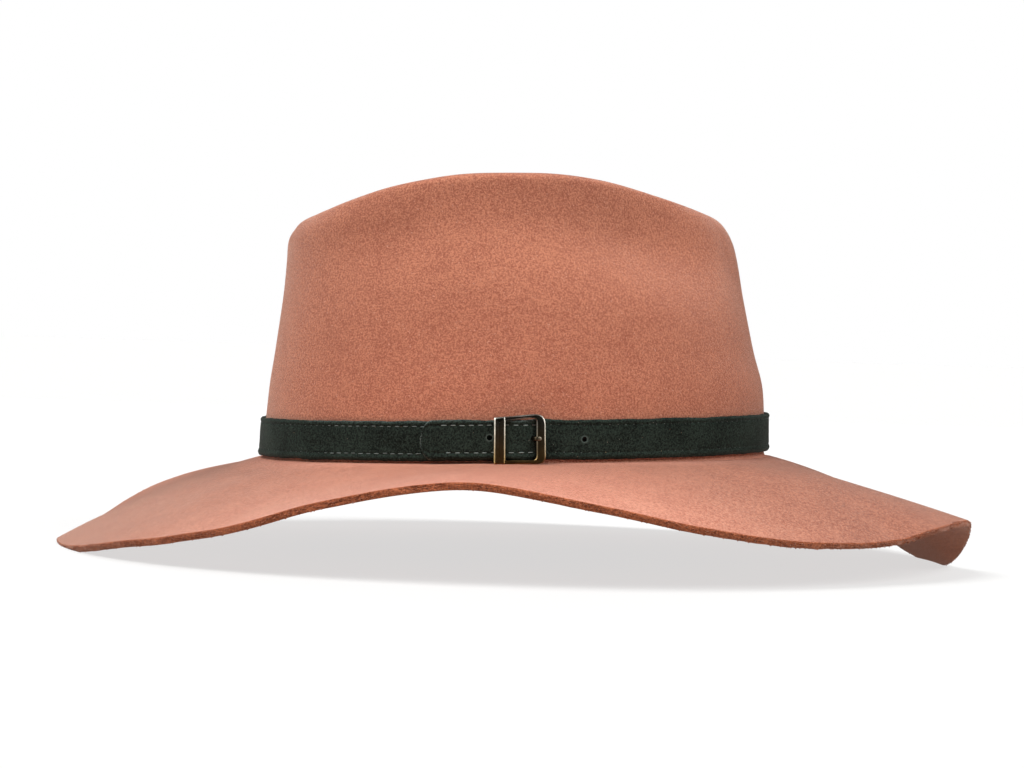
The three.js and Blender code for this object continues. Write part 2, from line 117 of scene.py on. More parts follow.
camera_data = bpy.data.cameras.new("camera")
camera_data.sensor_width = SENSOR
camera_data.lens = FOCAL_PIXELS / IMAGE_WIDTH * SENSOR
camera_data.clip_end = 60
camera = put("camera", camera_data)
aim(camera, TIPPING @ across, TIPPING @ upward, TIPPING @ -ahead, stand(eye))
bpy.context.scene.camera = camera
print("camera height above the floor in mm:", round(1000 * camera.location.z, 1))

# %% [markdown]
# ## Meshes from rings
#
# Nearly every piece is a row of closed rings: round the hat, the strap's section or a thread.
# A band of four-cornered faces joins each ring to the next. The first and the last ring close
# on a point, or on each other where a frame has a window. Many small shells, such as stitches,
# are built at once in one array.

# %% Rings to closed shells, shells to pieces
def shell(rings, looped=False):
    """Points and faces of closed shells.

    rings has the shape (shells, rings, points, 3). Each end ring closes on the mean of its
    points, or, if looped, the last ring joins the first. The faces are turned round where the
    volume inside them comes out negative.
    """
    shells, rows, columns, _ = rings.shape
    first = np.arange(shells)[:, None, None] * rows * columns
    row = np.arange(rows if looped else rows - 1)[None, :, None] * columns
    here = np.arange(columns)[None, None, :]
    there = (here + 1) % columns
    next_row = (row + columns) % (rows * columns)
    corners = [first + row + here, first + row + there, first + next_row + there,
               first + next_row + here]
    quads = np.stack(corners, -1).reshape(-1, 4)
    points = rings.reshape(-1, 3)
    triangles = np.zeros((0, 3), int)
    if not looped:
        poles = len(points) + np.arange(2 * shells).reshape(2, shells, 1)
        start = np.broadcast_arrays(first[:, 0] + there[0], first[:, 0] + here[0], poles[0])
        last = first[:, 0] + (rows - 1) * columns
        end = np.broadcast_arrays(last + here[0], last + there[0], poles[1])
        triangles = np.concatenate([np.stack(start, -1), np.stack(end, -1)]).reshape(-1, 3)
        points = np.concatenate([points, rings[:, 0].mean(1), rings[:, -1].mean(1)])
    halves = np.concatenate([quads[:, :3], quads[:, [0, 2, 3]], triangles])
    a, b, c = (points[halves[:, k]] for k in range(3))
    if np.einsum("ij,ij->", a, np.cross(b, c)) < 0:
        quads, triangles = quads[:, ::-1], triangles[:, ::-1]
    return points, quads, triangles


def piece(name, *shells, sharp=None):
    """One mesh object from shells in level millimetres, placed on the floor in metres."""
    offsets = np.cumsum([0] + [len(points) for points, _, _ in shells])
    points = stand(np.concatenate([points for points, _, _ in shells]))
    quads = np.concatenate([q + n for (_, q, _), n in zip(shells, offsets)])
    triangles = np.concatenate([t + n for (_, _, t), n in zip(shells, offsets)])
    mesh = bpy.data.meshes.new(name)
    mesh.vertices.add(len(points))
    mesh.vertices.foreach_set("co", points.astype(np.float32).ravel())
    mesh.loops.add(quads.size + triangles.size)
    mesh.loops.foreach_set("vertex_index", np.concatenate([quads.ravel(), triangles.ravel()]))
    mesh.polygons.add(len(quads) + len(triangles))
    starts = [4 * np.arange(len(quads)), quads.size + 3 * np.arange(len(triangles))]
    mesh.polygons.foreach_set("loop_start", np.concatenate(starts))
    mesh.update(calc_edges=True)
    mesh.shade_smooth()
    if sharp is not None:
        mesh.set_sharp_from_angle(angle=math.radians(sharp))
    print(f"{name}: {2 * len(quads) + len(triangles)} triangles")
    return put(name, mesh)


def paint(made, name, values):
    """Stores one number per point of a piece, for its material to read."""
    attribute = made.data.attributes.new(name, "FLOAT", "POINT")
    attribute.data.foreach_set("value", np.asarray(values, np.float32).ravel())


def ring_values(values, columns, looped=False):
    """One number per ring repeated for its points, then for the two points that close the shell."""
    values = np.asarray(values, float)
    closing = [] if looped else [values[0], values[-1]]
    return np.concatenate([np.repeat(values, columns), closing])


# %% [markdown]
# ## Tables and smooth curves
#
# The hat was blocked by steam over a wooden form, so its shape changes slowly. Short tables
# give the shape at a few places, and a cubic through their rows gives it everywhere between.

# %% Formulas that several pieces share
def unit(vectors):
    """The vectors divided by their lengths."""
    return vectors / np.linalg.norm(vectors, axis=-1, keepdims=True)


def lengths_to(points):
    """Length of the line through the points, from the first to each of them."""
    return np.append(0, np.cumsum(np.linalg.norm(np.diff(points, axis=0), axis=1)))


def ramp(value, start, end):
    """0 before start and 1 after end, with a straight line between; it may also run downwards."""
    return np.clip((value - start) / (end - start), 0, 1)


def bell(value, width):
    """Bell curve: the exponential of minus the square of the value over the width."""
    return np.exp(-((value / width) ** 2))


def circle(count):
    """Evenly spaced angles, one for each point of a ring."""
    return np.arange(count) * 2 * math.pi / count


def squared_off(wave, power):
    """A sine or cosine with its size raised to a power; one below 1 makes a circle squarer."""
    return np.sign(wave) * np.abs(wave) ** power


def between(at, knots, values):
    """Cubic between two rows, whose slope at a row is that of the line through its neighbours."""
    knots, values = np.asarray(knots, float), np.asarray(values, float)
    slopes = np.empty_like(values)
    slopes[1:-1] = (values[2:] - values[:-2]) / (knots[2:] - knots[:-2])
    slopes[0] = (values[1] - values[0]) / (knots[1] - knots[0])
    slopes[-1] = (values[-1] - values[-2]) / (knots[-1] - knots[-2])
    at = np.asarray(at, float)
    row = np.clip(np.searchsorted(knots, at, side="right") - 1, 0, len(knots) - 2)
    span = knots[row + 1] - knots[row]
    k = (at - knots[row]) / span
    later = 3 * k ** 2 - 2 * k ** 3
    leaving, arriving = (k ** 3 - 2 * k ** 2 + k) * slopes[row], (k ** 3 - k ** 2) * slopes[row + 1]
    return (1 - later) * values[row] + later * values[row + 1] + span * (leaving + arriving)


def waves(points, seed, lengths, count=24):
    """Sum of sine waves in random directions, about -1 to 1, with lengths between the two given."""
    random = np.random.default_rng(seed)
    ways = unit(random.normal(size=(count, points.shape[-1])))
    shortest, longest = lengths
    lengths = np.exp(random.uniform(math.log(shortest), math.log(longest), count))
    strengths = np.sqrt(lengths / lengths.max())
    phases = random.uniform(0, 2 * math.pi, count)
    total = np.zeros(points.shape[:-1])
    for way, length, strength, phase in zip(ways, lengths, strengths, phases):
        total += strength * np.sin(points @ way * (2 * math.pi / length) + phase)
    return total / np.sqrt((strengths ** 2).sum())


# %% [markdown]
# ## The crown
#
# Level sections of the crown are ovals. The table gives each section's height and reach at the
# front, the sides and the back, from the foot over the ridge and down into the sunken top.
# Each front side has a dent where a hand takes the hat, and a faint groove runs on from it
# below the ridge. A formula keeps those creases soft, as steamed felt is.

# %% Crown surface
CROWN_STEP = [0, 1, 2, 3, 4, 5, 6, 7, 7.5, 8, 8.5, 9, 10, 11, 12]
CROWN = {
    "z_front": [5, 16, 30, 44, 64, 80, 89.5, 96.2, 95.6, 94, 93.3, 92.5, 90, 87, 86],
    "z_side": [5, 16, 30, 44, 66, 87, 102, 109.5, 112.2, 113.6, 113, 107.3, 98, 88, 86],
    "z_back": [5, 16, 30, 44, 64, 80, 88.9, 94.4, 96.5, 97.5, 96.6, 94.5, 88, 85, 86],
    "r_front": [104.2, 104.3, 103.5, 99.8, 96, 93.5, 90.8, 86, 82.6, 78.7, 75, 70, 52, 28, 0],
    "r_side": [87, 86.5, 85.5, 83.5, 80.5, 76.7, 74.9, 73.9, 72.9, 70.3, 67.2, 57, 40, 19, 0],
    "r_back": [102.7, 101.8, 100.1, 97.9, 95, 93.4, 92.4, 89.1, 86.9, 84.1, 80.9, 76, 58, 32, 0],
    "narrow": [0.03, 0.03, 0.03, 0.035, 0.05, 0.08, 0.12, 0.15, 0.165, 0.18, 0.19, 0.2, 0.2, 0.15,
               0.1],
}
FRONT_BLEND, BACK_BLEND = 2.1, 2.8
DENT_X, DENT_LENGTH, DENT_BELOW, DENT_ABOVE = 45, 36, 19, 30
DENT_DEPTH, GROOVE_DEPTH, FADE_AT_ENDS = 11, 3.2, 30
GROOVE_X, GROOVE_Z, GROOVE_BEND = -25, 100, 12
GROOVE_TO_FRONT, GROOVE_TO_BACK = 0.2, 0.35


def crown_column(name, step):
    """A column of the table at a step, run on past the foot in line and mirrored over the top."""
    column = CROWN[name]
    beyond = -column[-2] if name.startswith("r") else column[-2]
    return between(step, [-1, *CROWN_STEP, 13], [2 * column[0] - column[1], *column, beyond])


def groove_height(x):
    """Two straight lines that fall to the front and the back, joined by a hyperbola's soft bend."""
    ahead = x - GROOVE_X
    lean, spread = (GROOVE_TO_BACK - GROOVE_TO_FRONT) / 2, (GROOVE_TO_FRONT + GROOVE_TO_BACK) / 2
    return GROOVE_Z + lean * ahead - spread * (np.sqrt(ahead ** 2 + GROOVE_BEND ** 2) - GROOVE_BEND)


def crown_point(step, turn):
    """Oval: x is the reach times the cosine, y the side reach times the sine, narrowed forwards.

    The height goes from the side's to the end's by a power of the cosine. A dent then pulls the
    side in by a bell curve of the height times a bell curve of x.
    """
    step, turn = np.broadcast_arrays(np.asarray(step, float), np.radians(turn))
    value = {name: crown_column(name, step) for name in CROWN}
    c, s = np.cos(turn), np.sin(turn)
    forward = c >= 0
    x = np.where(forward, value["r_front"], value["r_back"]) * c
    y = value["r_side"] * s * (1 - value["narrow"] * c)
    ends = np.where(forward, value["z_front"], value["z_back"])
    blend = np.abs(c) ** np.where(forward, FRONT_BLEND, BACK_BLEND)
    z = value["z_side"] + (ends - value["z_side"]) * blend
    rise = z - groove_height(x)
    over = bell(rise, np.where(rise < 0, DENT_BELOW, DENT_ABOVE))
    deep = GROOVE_DEPTH + DENT_DEPTH * bell(x - DENT_X, DENT_LENGTH)
    y = y - np.sign(y) * deep * over * np.minimum(np.abs(y) / FADE_AT_ENDS, 1)
    return np.stack([x, y, z], -1)


def out_of_foot(turn):
    """Level direction square to the foot's outline: the step along it, turned by a right angle."""
    step = crown_point(0, np.asarray(turn) + 0.5) - crown_point(0, np.asarray(turn) - 0.5)
    return unit(np.stack([step[..., 1], -step[..., 0], np.zeros(step.shape[:-1])], -1))


foot, ridge = (crown_point(steps, np.arange(360)) for steps in (0, np.arange(6, 9, 0.1)[:, None]))
print("crown in mm: foot", np.ptp(foot, axis=0)[:2].round(1), "top", ridge[..., 2].max().round(1))

# %% [markdown]
# ## The brim
#
# A felt brim is cut to one width all round, and its waves come from how steeply it leaves the
# crown and how much it curls after that. So at each turn it is an arc of one length, and the
# table gives its slope at the break and at the cut edge. It dips at the front and the back.
# The break is a tight bend, and beside the head it lies a millimetre higher.

# %% Brim surface
BRIM_WIDTH = 87
BREAK_RADIUS = 3
BREAK_POWER = 0.6
SIDE_RISE = 1.1
BRIM_TURN = [0, 9, 20, 33, 50, 75, 105, 135, 160, 180, 195, 210, 225, 240, 255, 270, 285, 300, 315,
             327, 338, 350]
SLOPE_AT_BREAK = [16, 9.5, 8.5, 8, 5.5, 2, 1, 5, 12.5, 17.5, 18.5, 16, 10.5, 5.5, -0.5, -2.5, 0, 4,
                  2, 7.5, 14, 14]
SLOPE_AT_EDGE = [47, 50, 40.5, 37, 32, 21, 4.5, 11.5, 28.5, 26, 24, 19.5, 16.5, 5.5, 2, 14, 25.5,
                 30.5, 35, 23.5, 18.5, 44]


def around(turn, column):
    """A column of the brim's table at a turn, with three rows repeated past either end."""
    laps = [t + lap for lap in (-360, 0, 360) for t in BRIM_TURN]
    count = len(BRIM_TURN)
    rows = slice(count - 3, 2 * count + 3)
    return np.radians(between(np.asarray(turn) % 360, laps[rows], (column * 3)[rows]))


def side_rise(share, turn):
    """Lift of the brim beside the head: the sine squared, fading with distance from the foot."""
    return SIDE_RISE * np.sin(np.radians(turn)) ** 2 * (1 - share) ** 4


def brim_point(share, turn):
    """Arc whose slope changes evenly: a chord at the mean of its end slopes, and the rise."""
    start = around(turn, SLOPE_AT_BREAK)
    half = (around(turn, SLOPE_AT_EDGE) - start) * share / 2
    chord = share * BRIM_WIDTH * np.sinc(half / math.pi)
    reach = (BREAK_RADIUS + chord * np.cos(start + half))[..., None]
    point = crown_point(0, turn) + out_of_foot(turn) * reach
    point[..., 2] = side_rise(share, turn) - chord * np.sin(start + half)
    return point


def break_point(angle, turn):
    """Quarter of a superellipse between wall and brim: tighter in its middle than a circle."""
    level, upright = math.cos(math.radians(angle)), math.sin(math.radians(angle))
    outwards = BREAK_RADIUS * (1 - level ** BREAK_POWER)
    point = crown_point(0, turn) + out_of_foot(turn) * outwards
    low = side_rise(0, turn)
    point[..., 2] = low + (BREAK_RADIUS - low) * (1 - upright ** BREAK_POWER)
    return point


# %% [markdown]
# ## The felt body
#
# Felt has two faces and a cut edge. The outer face is a grid of rings from the cut edge over
# the break, the wall and the ridge to the middle of the top. The inner face is that grid moved
# in by the felt's thickness, square to the face; over the tight ridge that direction is averaged
# with its neighbours', or the inner wall would cross itself. The cut is a band with worn corners,
# half a superellipse. Slow waves of a fifth of a millimetre keep the wall from looking turned.
#
# A number per point is painted on for each kind: painted light that makes the brim pale beside
# the head and the foot pale below the belt, painted shade that dulls the brim at the front and
# the back, coarser grain on the brim, and painted shade that darkens the felt behind the belt.

# %% Felt body
FELT_THICKNESS = 2.9
FELT_TURNS = 480
EDGE_WEAR = 0.5
WAVE_HEIGHT = 0.2
BELT_TOP, BELT_MIDDLE = 22, 10.5
EASED_FROM, EASED_TO, EASED_ROWS = 78, 90, 5
INSIDE_RINGS = 62
INSIDE_WARMTH, BRIM_COARSENESS = 0.4, 0.55
PAINTED_LIGHT_TURNS, PAINTED_LIGHT_POWER = (255, 105), 5
PAINTED_LIGHT_AT_FOOT, PAINTED_LIGHT_AT_BREAK = 0.5, 0.12
BREAK_ANGLES = (72, 54, 36, 18, 0)
CUT_ANGLES = [-72, -50, -26, 0, 26, 50, 72]

turns = np.arange(FELT_TURNS) * 360 / FELT_TURNS
shares = (1 - EDGE_WEAR / BRIM_WIDTH) * (1 - np.linspace(0, 1, 38) ** 1.15)
crown_steps = np.concatenate([np.linspace(0, 5, 34), np.linspace(5, 9.2, 40)[1:],
                              np.linspace(9.2, 11.85, 16)[1:]])
outside = np.stack(
    [brim_point(share, turns) for share in shares]
    + [break_point(angle, turns) for angle in BREAK_ANGLES]
    + [crown_point(step, turns) for step in crown_steps]
)
on_brim = np.arange(len(outside)) < len(shares)


def face_normals(grid):
    """Cross product of the grid's two directions, of length one, pointing out of the felt."""
    round_the_hat = np.roll(grid, -1, axis=1) - np.roll(grid, 1, axis=1)
    return unit(np.cross(round_the_hat, np.gradient(grid, axis=0)))


free_of_belt = np.where(on_brim[:, None], 0.8, np.clip((outside[..., 2] - BELT_TOP) / 12, 0.1, 1))
slow_waves = WAVE_HEIGHT * waves(outside, seed=3, lengths=(22, 90)) * free_of_belt
outside += face_normals(outside) * slow_waves[..., None]
normals = face_normals(outside)
padded = np.pad(normals, ((EASED_ROWS, EASED_ROWS), (0, 0), (0, 0)), mode="edge")
row_weights = np.hanning(2 * EASED_ROWS + 3)[1:-1]
eased = sum(weight * padded[k:k + len(normals)] for k, weight in enumerate(row_weights))
ease_share = ramp(outside[..., 2:], EASED_FROM, EASED_TO)
into_felt = unit(normals * (1 - ease_share) + eased / row_weights.sum() * ease_share)
inside_rows = np.round(np.linspace(0, len(outside) - 1, INSIDE_RINGS)).astype(int)
inside = (outside - FELT_THICKNESS * into_felt)[np.unique(inside_rows)]

outward = outside[0] - outside[1]
outward = unit(outward - normals[0] * (outward * normals[0]).sum(-1, keepdims=True))
lean = np.radians(CUT_ANGLES)[:, None, None]
cut_out = EDGE_WEAR * np.abs(np.cos(lean)) ** 0.5
cut_up = FELT_THICKNESS / 2 * squared_off(np.sin(lean), 0.8)
middle = outside[0] - FELT_THICKNESS / 2 * normals[0]
rough = 0.2 * waves(middle + 3 * lean, seed=5, lengths=(5, 16))[..., None]
cut_edge = middle + outward * (cut_out + rough) + normals[0] * cut_up

felt_rings = np.concatenate([inside[::-1], cut_edge, outside])
felt = piece("felt_shell", shell(felt_rings[None]))


def outer_face(values):
    """One number per ring: 0 on the inner face and the cut, the given ones on the outer face."""
    return np.append(np.zeros(len(felt_rings) - len(outside)), values)


cut_rows = np.repeat([INSIDE_WARMTH, 1, 0], [len(inside), len(cut_edge), len(outside)])
brim_share = np.append(shares, np.zeros(len(outside) - len(shares)))
row_height = outside[:, 0, 2]
# Painted light: the brim is painted paler beside the head, more so towards its edge, and the felt
# at the foot below the belt is painted paler to lighten its shadow.
from_sides = [np.cos(np.radians(turns - side)) for side in PAINTED_LIGHT_TURNS]
beside_head = np.max(from_sides, axis=0).clip(0) ** PAINTED_LIGHT_POWER
painted_light_at_foot = PAINTED_LIGHT_AT_FOOT * ramp(row_height, 4, 1.5) * ramp(brim_share, 1 / 7, 0)
painted_light_on_brim = on_brim * (PAINTED_LIGHT_AT_BREAK + (1 - PAINTED_LIGHT_AT_BREAK) * brim_share)
brim_painted_light = np.outer(outer_face(painted_light_on_brim), beside_head)
painted_light_share = np.maximum(brim_painted_light, outer_face(painted_light_at_foot)[:, None])
# Painted shade: the felt behind the belt is painted almost black, so it looks shaded through the
# belt's holes and gaps.
behind_belt = ~on_brim * ramp(np.abs(row_height - BELT_MIDDLE), 7.5, 2.5)
for name, per_ring in (("cut", cut_rows), ("coarse", outer_face(BRIM_COARSENESS * on_brim)),
                       ("painted_shade_behind_belt", outer_face(behind_belt))):
    paint(felt, name, ring_values(per_ring, FELT_TURNS))
# Painted shade: the brim is painted duller at the front and the back, away from the head's sides.
for name, per_point in (("painted_light", painted_light_share),
                        ("painted_shade", np.outer(outer_face(on_brim), 1 - beside_head))):
    paint(felt, name, np.append(per_point, [0, 0]))
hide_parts("felt_body")
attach(felt, "root")

# %% [markdown]
# ## Loose fibres
#
# Shears leave the cut edge of felt ragged: short tufts of wool stand out of it, and its outline
# is never a clean line. Each tuft is a small spindle that lies along the edge and bows out of it,
# with both ends sunk, in a random place. Real fibres are too fine to show, so each spindle is
# coarser and stands for a whole tuft.

# %% Loose fibres
TUFTS = 3400
TUFT_RINGS, TUFT_SIDES = 3, 4
TUFT_RADIUS, TUFT_SUNK, TUFT_SPREAD = 0.16, 0.1, 1.2
TUFT_LENGTHS, TUFT_RISES = (0.8, 2.2), (0.2, 0.5)

random = np.random.default_rng(31)
at_edge = random.integers(0, FELT_TURNS, TUFTS)
tilt = random.uniform(-TUFT_SPREAD, TUFT_SPREAD, (TUFTS, 1))
to_next = np.roll(middle, -1, axis=0) - middle
tuft_along = unit(to_next)[at_edge]
tuft_away = outward[at_edge] * np.cos(tilt) + normals[0][at_edge] * np.sin(tilt)
tuft_root = (middle + outward * EDGE_WEAR)[at_edge] + normals[0][at_edge] * tilt
tuft_root += random.uniform(0, 1, (TUFTS, 1)) * to_next[at_edge]
least, most = np.transpose([TUFT_LENGTHS, TUFT_RISES])[..., None]
tuft_length, tuft_rise = random.uniform(least, most, (2, TUFTS))[:, :, None, None]

share = np.linspace(-1, 1, TUFT_RINGS)[:, None]
turn = circle(TUFT_SIDES)
tuft_thick = TUFT_RADIUS * np.sqrt(1 - 0.9 * share ** 2)
ahead = tuft_length / 2 * share + 0 * turn
lift = tuft_rise * (1 - share ** 2) - TUFT_SUNK + tuft_thick * np.sin(turn)
aside = tuft_thick * np.cos(turn) + 0 * ahead
tuft_rings = tuft_root[:, None, None]
tuft_aside = np.cross(tuft_along, tuft_away)
for axis, step in ((tuft_along, ahead), (tuft_away, lift), (tuft_aside, aside)):
    tuft_rings = tuft_rings + axis[:, None, None] * step[..., None]
tufts = piece("cut_edge_tufts", shell(tuft_rings))
paint(tufts, "cut", np.ones(len(tufts.data.vertices)))
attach(tufts, "root")

# %% [markdown]
# ## Where the belt lies
#
# The belt is thought of as laid out flat: how far along the wall, how far out from it and how
# high. Bending it round the crown then turns "along" into a turn angle, by the length of the
# crown's foot from the buckle onwards, so the strap keeps its real length on every bend.

# %% Bend the belt round the crown
BELT_TURN = 264.3
DROP_AT_BACK = 1.3

foot_turns = BELT_TURN + np.arange(1441) / 4
foot_length = lengths_to(crown_point(0, foot_turns))
HEAD_ROUND = foot_length[-1]


def on_wall(along, out, up):
    """A line from the foot up the wall at that turn, moved out level, a little lower behind."""
    along, out, up = np.broadcast_arrays(along, out, up)
    laps = np.floor(along / HEAD_ROUND)
    turn = np.interp(along - laps * HEAD_ROUND, foot_length, foot_turns) + 360 * laps
    low, high = crown_point(0, turn), crown_point(1, turn)
    share = (up - low[..., 2]) / (high[..., 2] - low[..., 2])
    point = low + (high - low) * share[..., None] + out_of_foot(turn) * out[..., None]
    backness = (1 - np.cos(np.radians(turn))) / 2
    point[..., 2] = up - DROP_AT_BACK * backness ** 2
    return point


def from_buckle(along):
    """Distance along the belt, from half a lap behind the buckle to half a lap ahead of it."""
    return (along + HEAD_ROUND / 2) % HEAD_ROUND - HEAD_ROUND / 2


print("length of the belt once round in mm:", round(HEAD_ROUND, 1))

# %% [markdown]
# ## The strap's course
#
# The strap is one ribbon. It starts as a thin flap folded round the buckle's hidden bar, goes
# once round the crown, comes up over that bar inside the buckle, and ends in the free tip on top
# of itself. The course lists where its middle runs, and a cubic makes the bends soft.

# %% Course of the ribbon
STRAP_WIDTH = 15.4
STRAP_THICKNESS = 1.6
FOLD_THICKNESS = 0.9
STRAP_MIDDLE = 10.35
FREE_END_LIFT = 0.45
WALL_GAP = 0.45
GAP = 0.3
HINGE_RADIUS = 0.7
HINGE_OUT = WALL_GAP + FOLD_THICKNESS + GAP + HINGE_RADIUS
PITCH = 3.4

bend = HINGE_RADIUS + GAP + FOLD_THICKNESS / 2
round_bar = np.radians(np.arange(120, -91, -30))
resting = WALL_GAP + STRAP_THICKNESS / 2
on_top = WALL_GAP + 1.5 * STRAP_THICKNESS + GAP
loop_along = np.linspace(-14, 24 - HEAD_ROUND, 59)
FLAP = np.array([[-4.4, 2.4], [-3.4, 2.6], [-2.2, 3]])
FREE_END = np.array([
    [18, resting + 0.1], [14, 1.75], [11, 2.6], [8, 3.45], [5.5, 4.1], [3.8, 4.65], [2, 5.25],
    [0, 5.45], [-2, 5.25], [-3.8, 4.65], [-5.5, 4.1], [-8, 3.6], [-11, on_top + 0.1],
    [-14, on_top], [-20, on_top], [-27, on_top], [-33.5, on_top], [-37.2, on_top],
])
stops = np.concatenate([
    FLAP,
    np.stack([bend * np.cos(round_bar), HINGE_OUT + bend * np.sin(round_bar)], 1),
    [[-3, HINGE_OUT - bend], [-7, resting]],
    np.stack([loop_along, np.full(len(loop_along), resting)], 1),
    FREE_END - [HEAD_ROUND, 0],
])
stop_travel = lengths_to(stops)
TRAVEL_END = stop_travel[-1]
FOLD_END = stop_travel[len(FLAP) + len(round_bar) + 1]


def course(travel):
    """Along and out of the ribbon's middle after so many millimetres of travel."""
    return (between(travel, stop_travel, stops[:, 0]), between(travel, stop_travel, stops[:, 1]))


def on_ribbon(travel, side, up):
    """The middle of the course, moved sideways square to it by side and upwards by up."""
    along, out = course(travel)
    along_after, out_after = course(travel + 0.05)
    step = np.hypot(along_after - along, out_after - out)
    lift = ramp(along + HEAD_ROUND, 24, 8) * FREE_END_LIFT
    return on_wall(
        along + side * (out_after - out) / step,
        out - side * (along_after - along) / step,
        STRAP_MIDDLE + lift + up,
    )


print("length of the strap in mm:", round(TRAVEL_END, 1))

# %% [markdown]
# ## The strap
#
# Two layers of suede are sewn together near both edges. The thread pulls a groove into the
# face, and the narrow strip outside it puffs up. So the section is a closed ring: round at the
# edges, a bump on each strip, and a dip at each seam, which comes and goes with the stitches.
# Waves make the edges as uneven as cut suede. The free end closes in a half ellipse, and its
# edge is painted pale because it is frayed. A pale line along the top edge near the buckle is a
# painted highlight.

# %% Strap
UPPER_SEAM, LOWER_SEAM = 1.9, 2.6
UPPER_PUFF, LOWER_PUFF, SEAM_DIP = 0.18, 0.3, 0.22
SECTION_HALF = 7.1
TIP_ROUND = 4.6
FREE_END_LENGTH = 62
COVERED_LENGTH = 80
EDGE_WAVE, FACE_WAVE = 0.13, 0.07


def tip_half(travel):
    """Half width: whole along the strap, and an ellipse over the last few millimetres."""
    left = np.clip((TRAVEL_END - travel) / TIP_ROUND, 0, 1)
    return STRAP_WIDTH / 2 * (1 - (1 - left) ** 2) ** 0.5


def pairs(first, second):
    """Two numbers per point, for waves to run over."""
    return np.stack(np.broadcast_arrays(first, second), -1)


stations = np.concatenate([
    np.arange(0, TRAVEL_END - TIP_ROUND, PITCH / 4),
    TRAVEL_END - TIP_ROUND * (1 - np.linspace(0, 0.985, 12) ** 0.6),
])
face_insets = np.array([0.06, 0.18, 0.36, 0.6, 0.9, 1.25, 1.55, 1.75, 1.9, 2.05, 2.25, 2.6, 3.2,
                        4.4, 5.8])
back_insets = np.array([5, 2.5, 0.8, 0.3, 0.08])
lower_insets = np.interp(face_insets, [0, 0.9, UPPER_SEAM, 5.8], [0, 1.2, LOWER_SEAM, 6])
inset = np.concatenate([lower_insets, [SECTION_HALF], face_insets[::-1], [0], back_insets[::-1],
                        back_insets, [0]])
on_face, on_back = len(face_insets), len(back_insets)
edge_side = np.repeat([-1, 0, 1, -1], [on_face, 1, on_face + 1 + on_back, on_back + 1])
facing = np.repeat([1, 0, -1, 0], [2 * on_face + 1, 1, 2 * on_back, 1])
lower_edge = edge_side < 0
seam = np.where(lower_edge, LOWER_SEAM, UPPER_SEAM)

travel = stations[:, None]
along_now, _ = course(travel)
thick = np.interp(travel, [FOLD_END, FOLD_END + 4], [FOLD_THICKNESS, STRAP_THICKNESS])
sewn = ramp(travel, FOLD_END, FOLD_END + 4) * ramp(travel, TRAVEL_END, TRAVEL_END - 3)
covered = ramp(along_now, -40, -37) * (travel < TRAVEL_END - COVERED_LENGTH)
puff = np.where(lower_edge, LOWER_PUFF, UPPER_PUFF) * sewn * (1 - 0.75 * covered)
dip = SEAM_DIP * sewn * (0.75 - 0.25 * np.cos(2 * math.pi * travel / PITCH))
edge_waves = waves(pairs(travel, 40.0 * edge_side), seed=11, lengths=(2.2, 30))
ragged = EDGE_WAVE * edge_waves * bell(inset, 1.2) * sewn
soft = FACE_WAVE * waves(pairs(travel, inset * edge_side), seed=12, lengths=(5, 30))

round_edge = np.sqrt(1 - (1 - np.clip(inset / 0.8, 0, 1)) ** 2)
face = puff * bell(inset - seam / 1.9, 0.6) - dip * bell(inset - seam, 0.3)
side = facing * round_edge * (thick / 2 + np.where(facing > 0, face + soft * sewn, 0))
half = tip_half(travel)
height = edge_side * (half - inset * half / SECTION_HALF + ragged)
strap_rings = on_ribbon(travel + 0 * height, side, height)
strap = piece("suede_strap", shell(strap_rings[None]))

place = from_buckle(along_now)
from_end = TRAVEL_END - travel
fray = np.clip(0.8 + 0.5 * waves(pairs(travel, height), seed=13, lengths=(0.9, 5)), 0, 1)
on_end = np.maximum(bell(inset, 0.45), bell(from_end, 0.5)) * ramp(from_end, 6, 3) * fray
in_window = (from_end < FREE_END_LENGTH) & (np.abs(place) < 5)
behind_buckle = (place > -90) & (place < -5)
# Painted highlight: a pale line along the top edge, strong inside the buckle's window and fainter
# behind the buckle. The pale tip above is frayed suede.
top_edge_highlight = (edge_side > 0) * (facing >= 0) * bell(inset, 0.5)
top_edge_highlight = top_edge_highlight * np.select([in_window, behind_buckle], [0.9, 0.3], 0)
paint(strap, "pale_edge", np.append(np.maximum(on_end, top_edge_highlight), [0, 1]))

# %% [markdown]
# ## Punched holes
#
# A punch leaves clean round holes. A grid can't have a hole in the middle of it, so a Boolean
# modifier cuts pins out of the ribbon: one in the free end, one through the single layer in
# front of the buckle, a long one under the prong, and a slot in the fold where the prong's eye
# sits. The pins are removed after the cut.

# %% Cut the holes
HOLE_WIDTH = 2.1
PRONG_ALONG, PRONG_UP, PRONG_WIDTH = 5.3, 11.2, 1.6


def pin(along, up, length, height, out_from, out_to, corner=2, count=32):
    """Straight pin square to the wall; its section is a superellipse, round where corner is 2."""
    turn = circle(count)
    section_x = length / 2 * squared_off(np.cos(turn), 2 / corner)
    section_z = height / 2 * squared_off(np.sin(turn), 2 / corner)
    depth = np.linspace(out_from, out_to, 4)[:, None]
    return shell(on_wall(along + section_x + 0 * depth, depth, up + section_z + 0 * depth)[None])


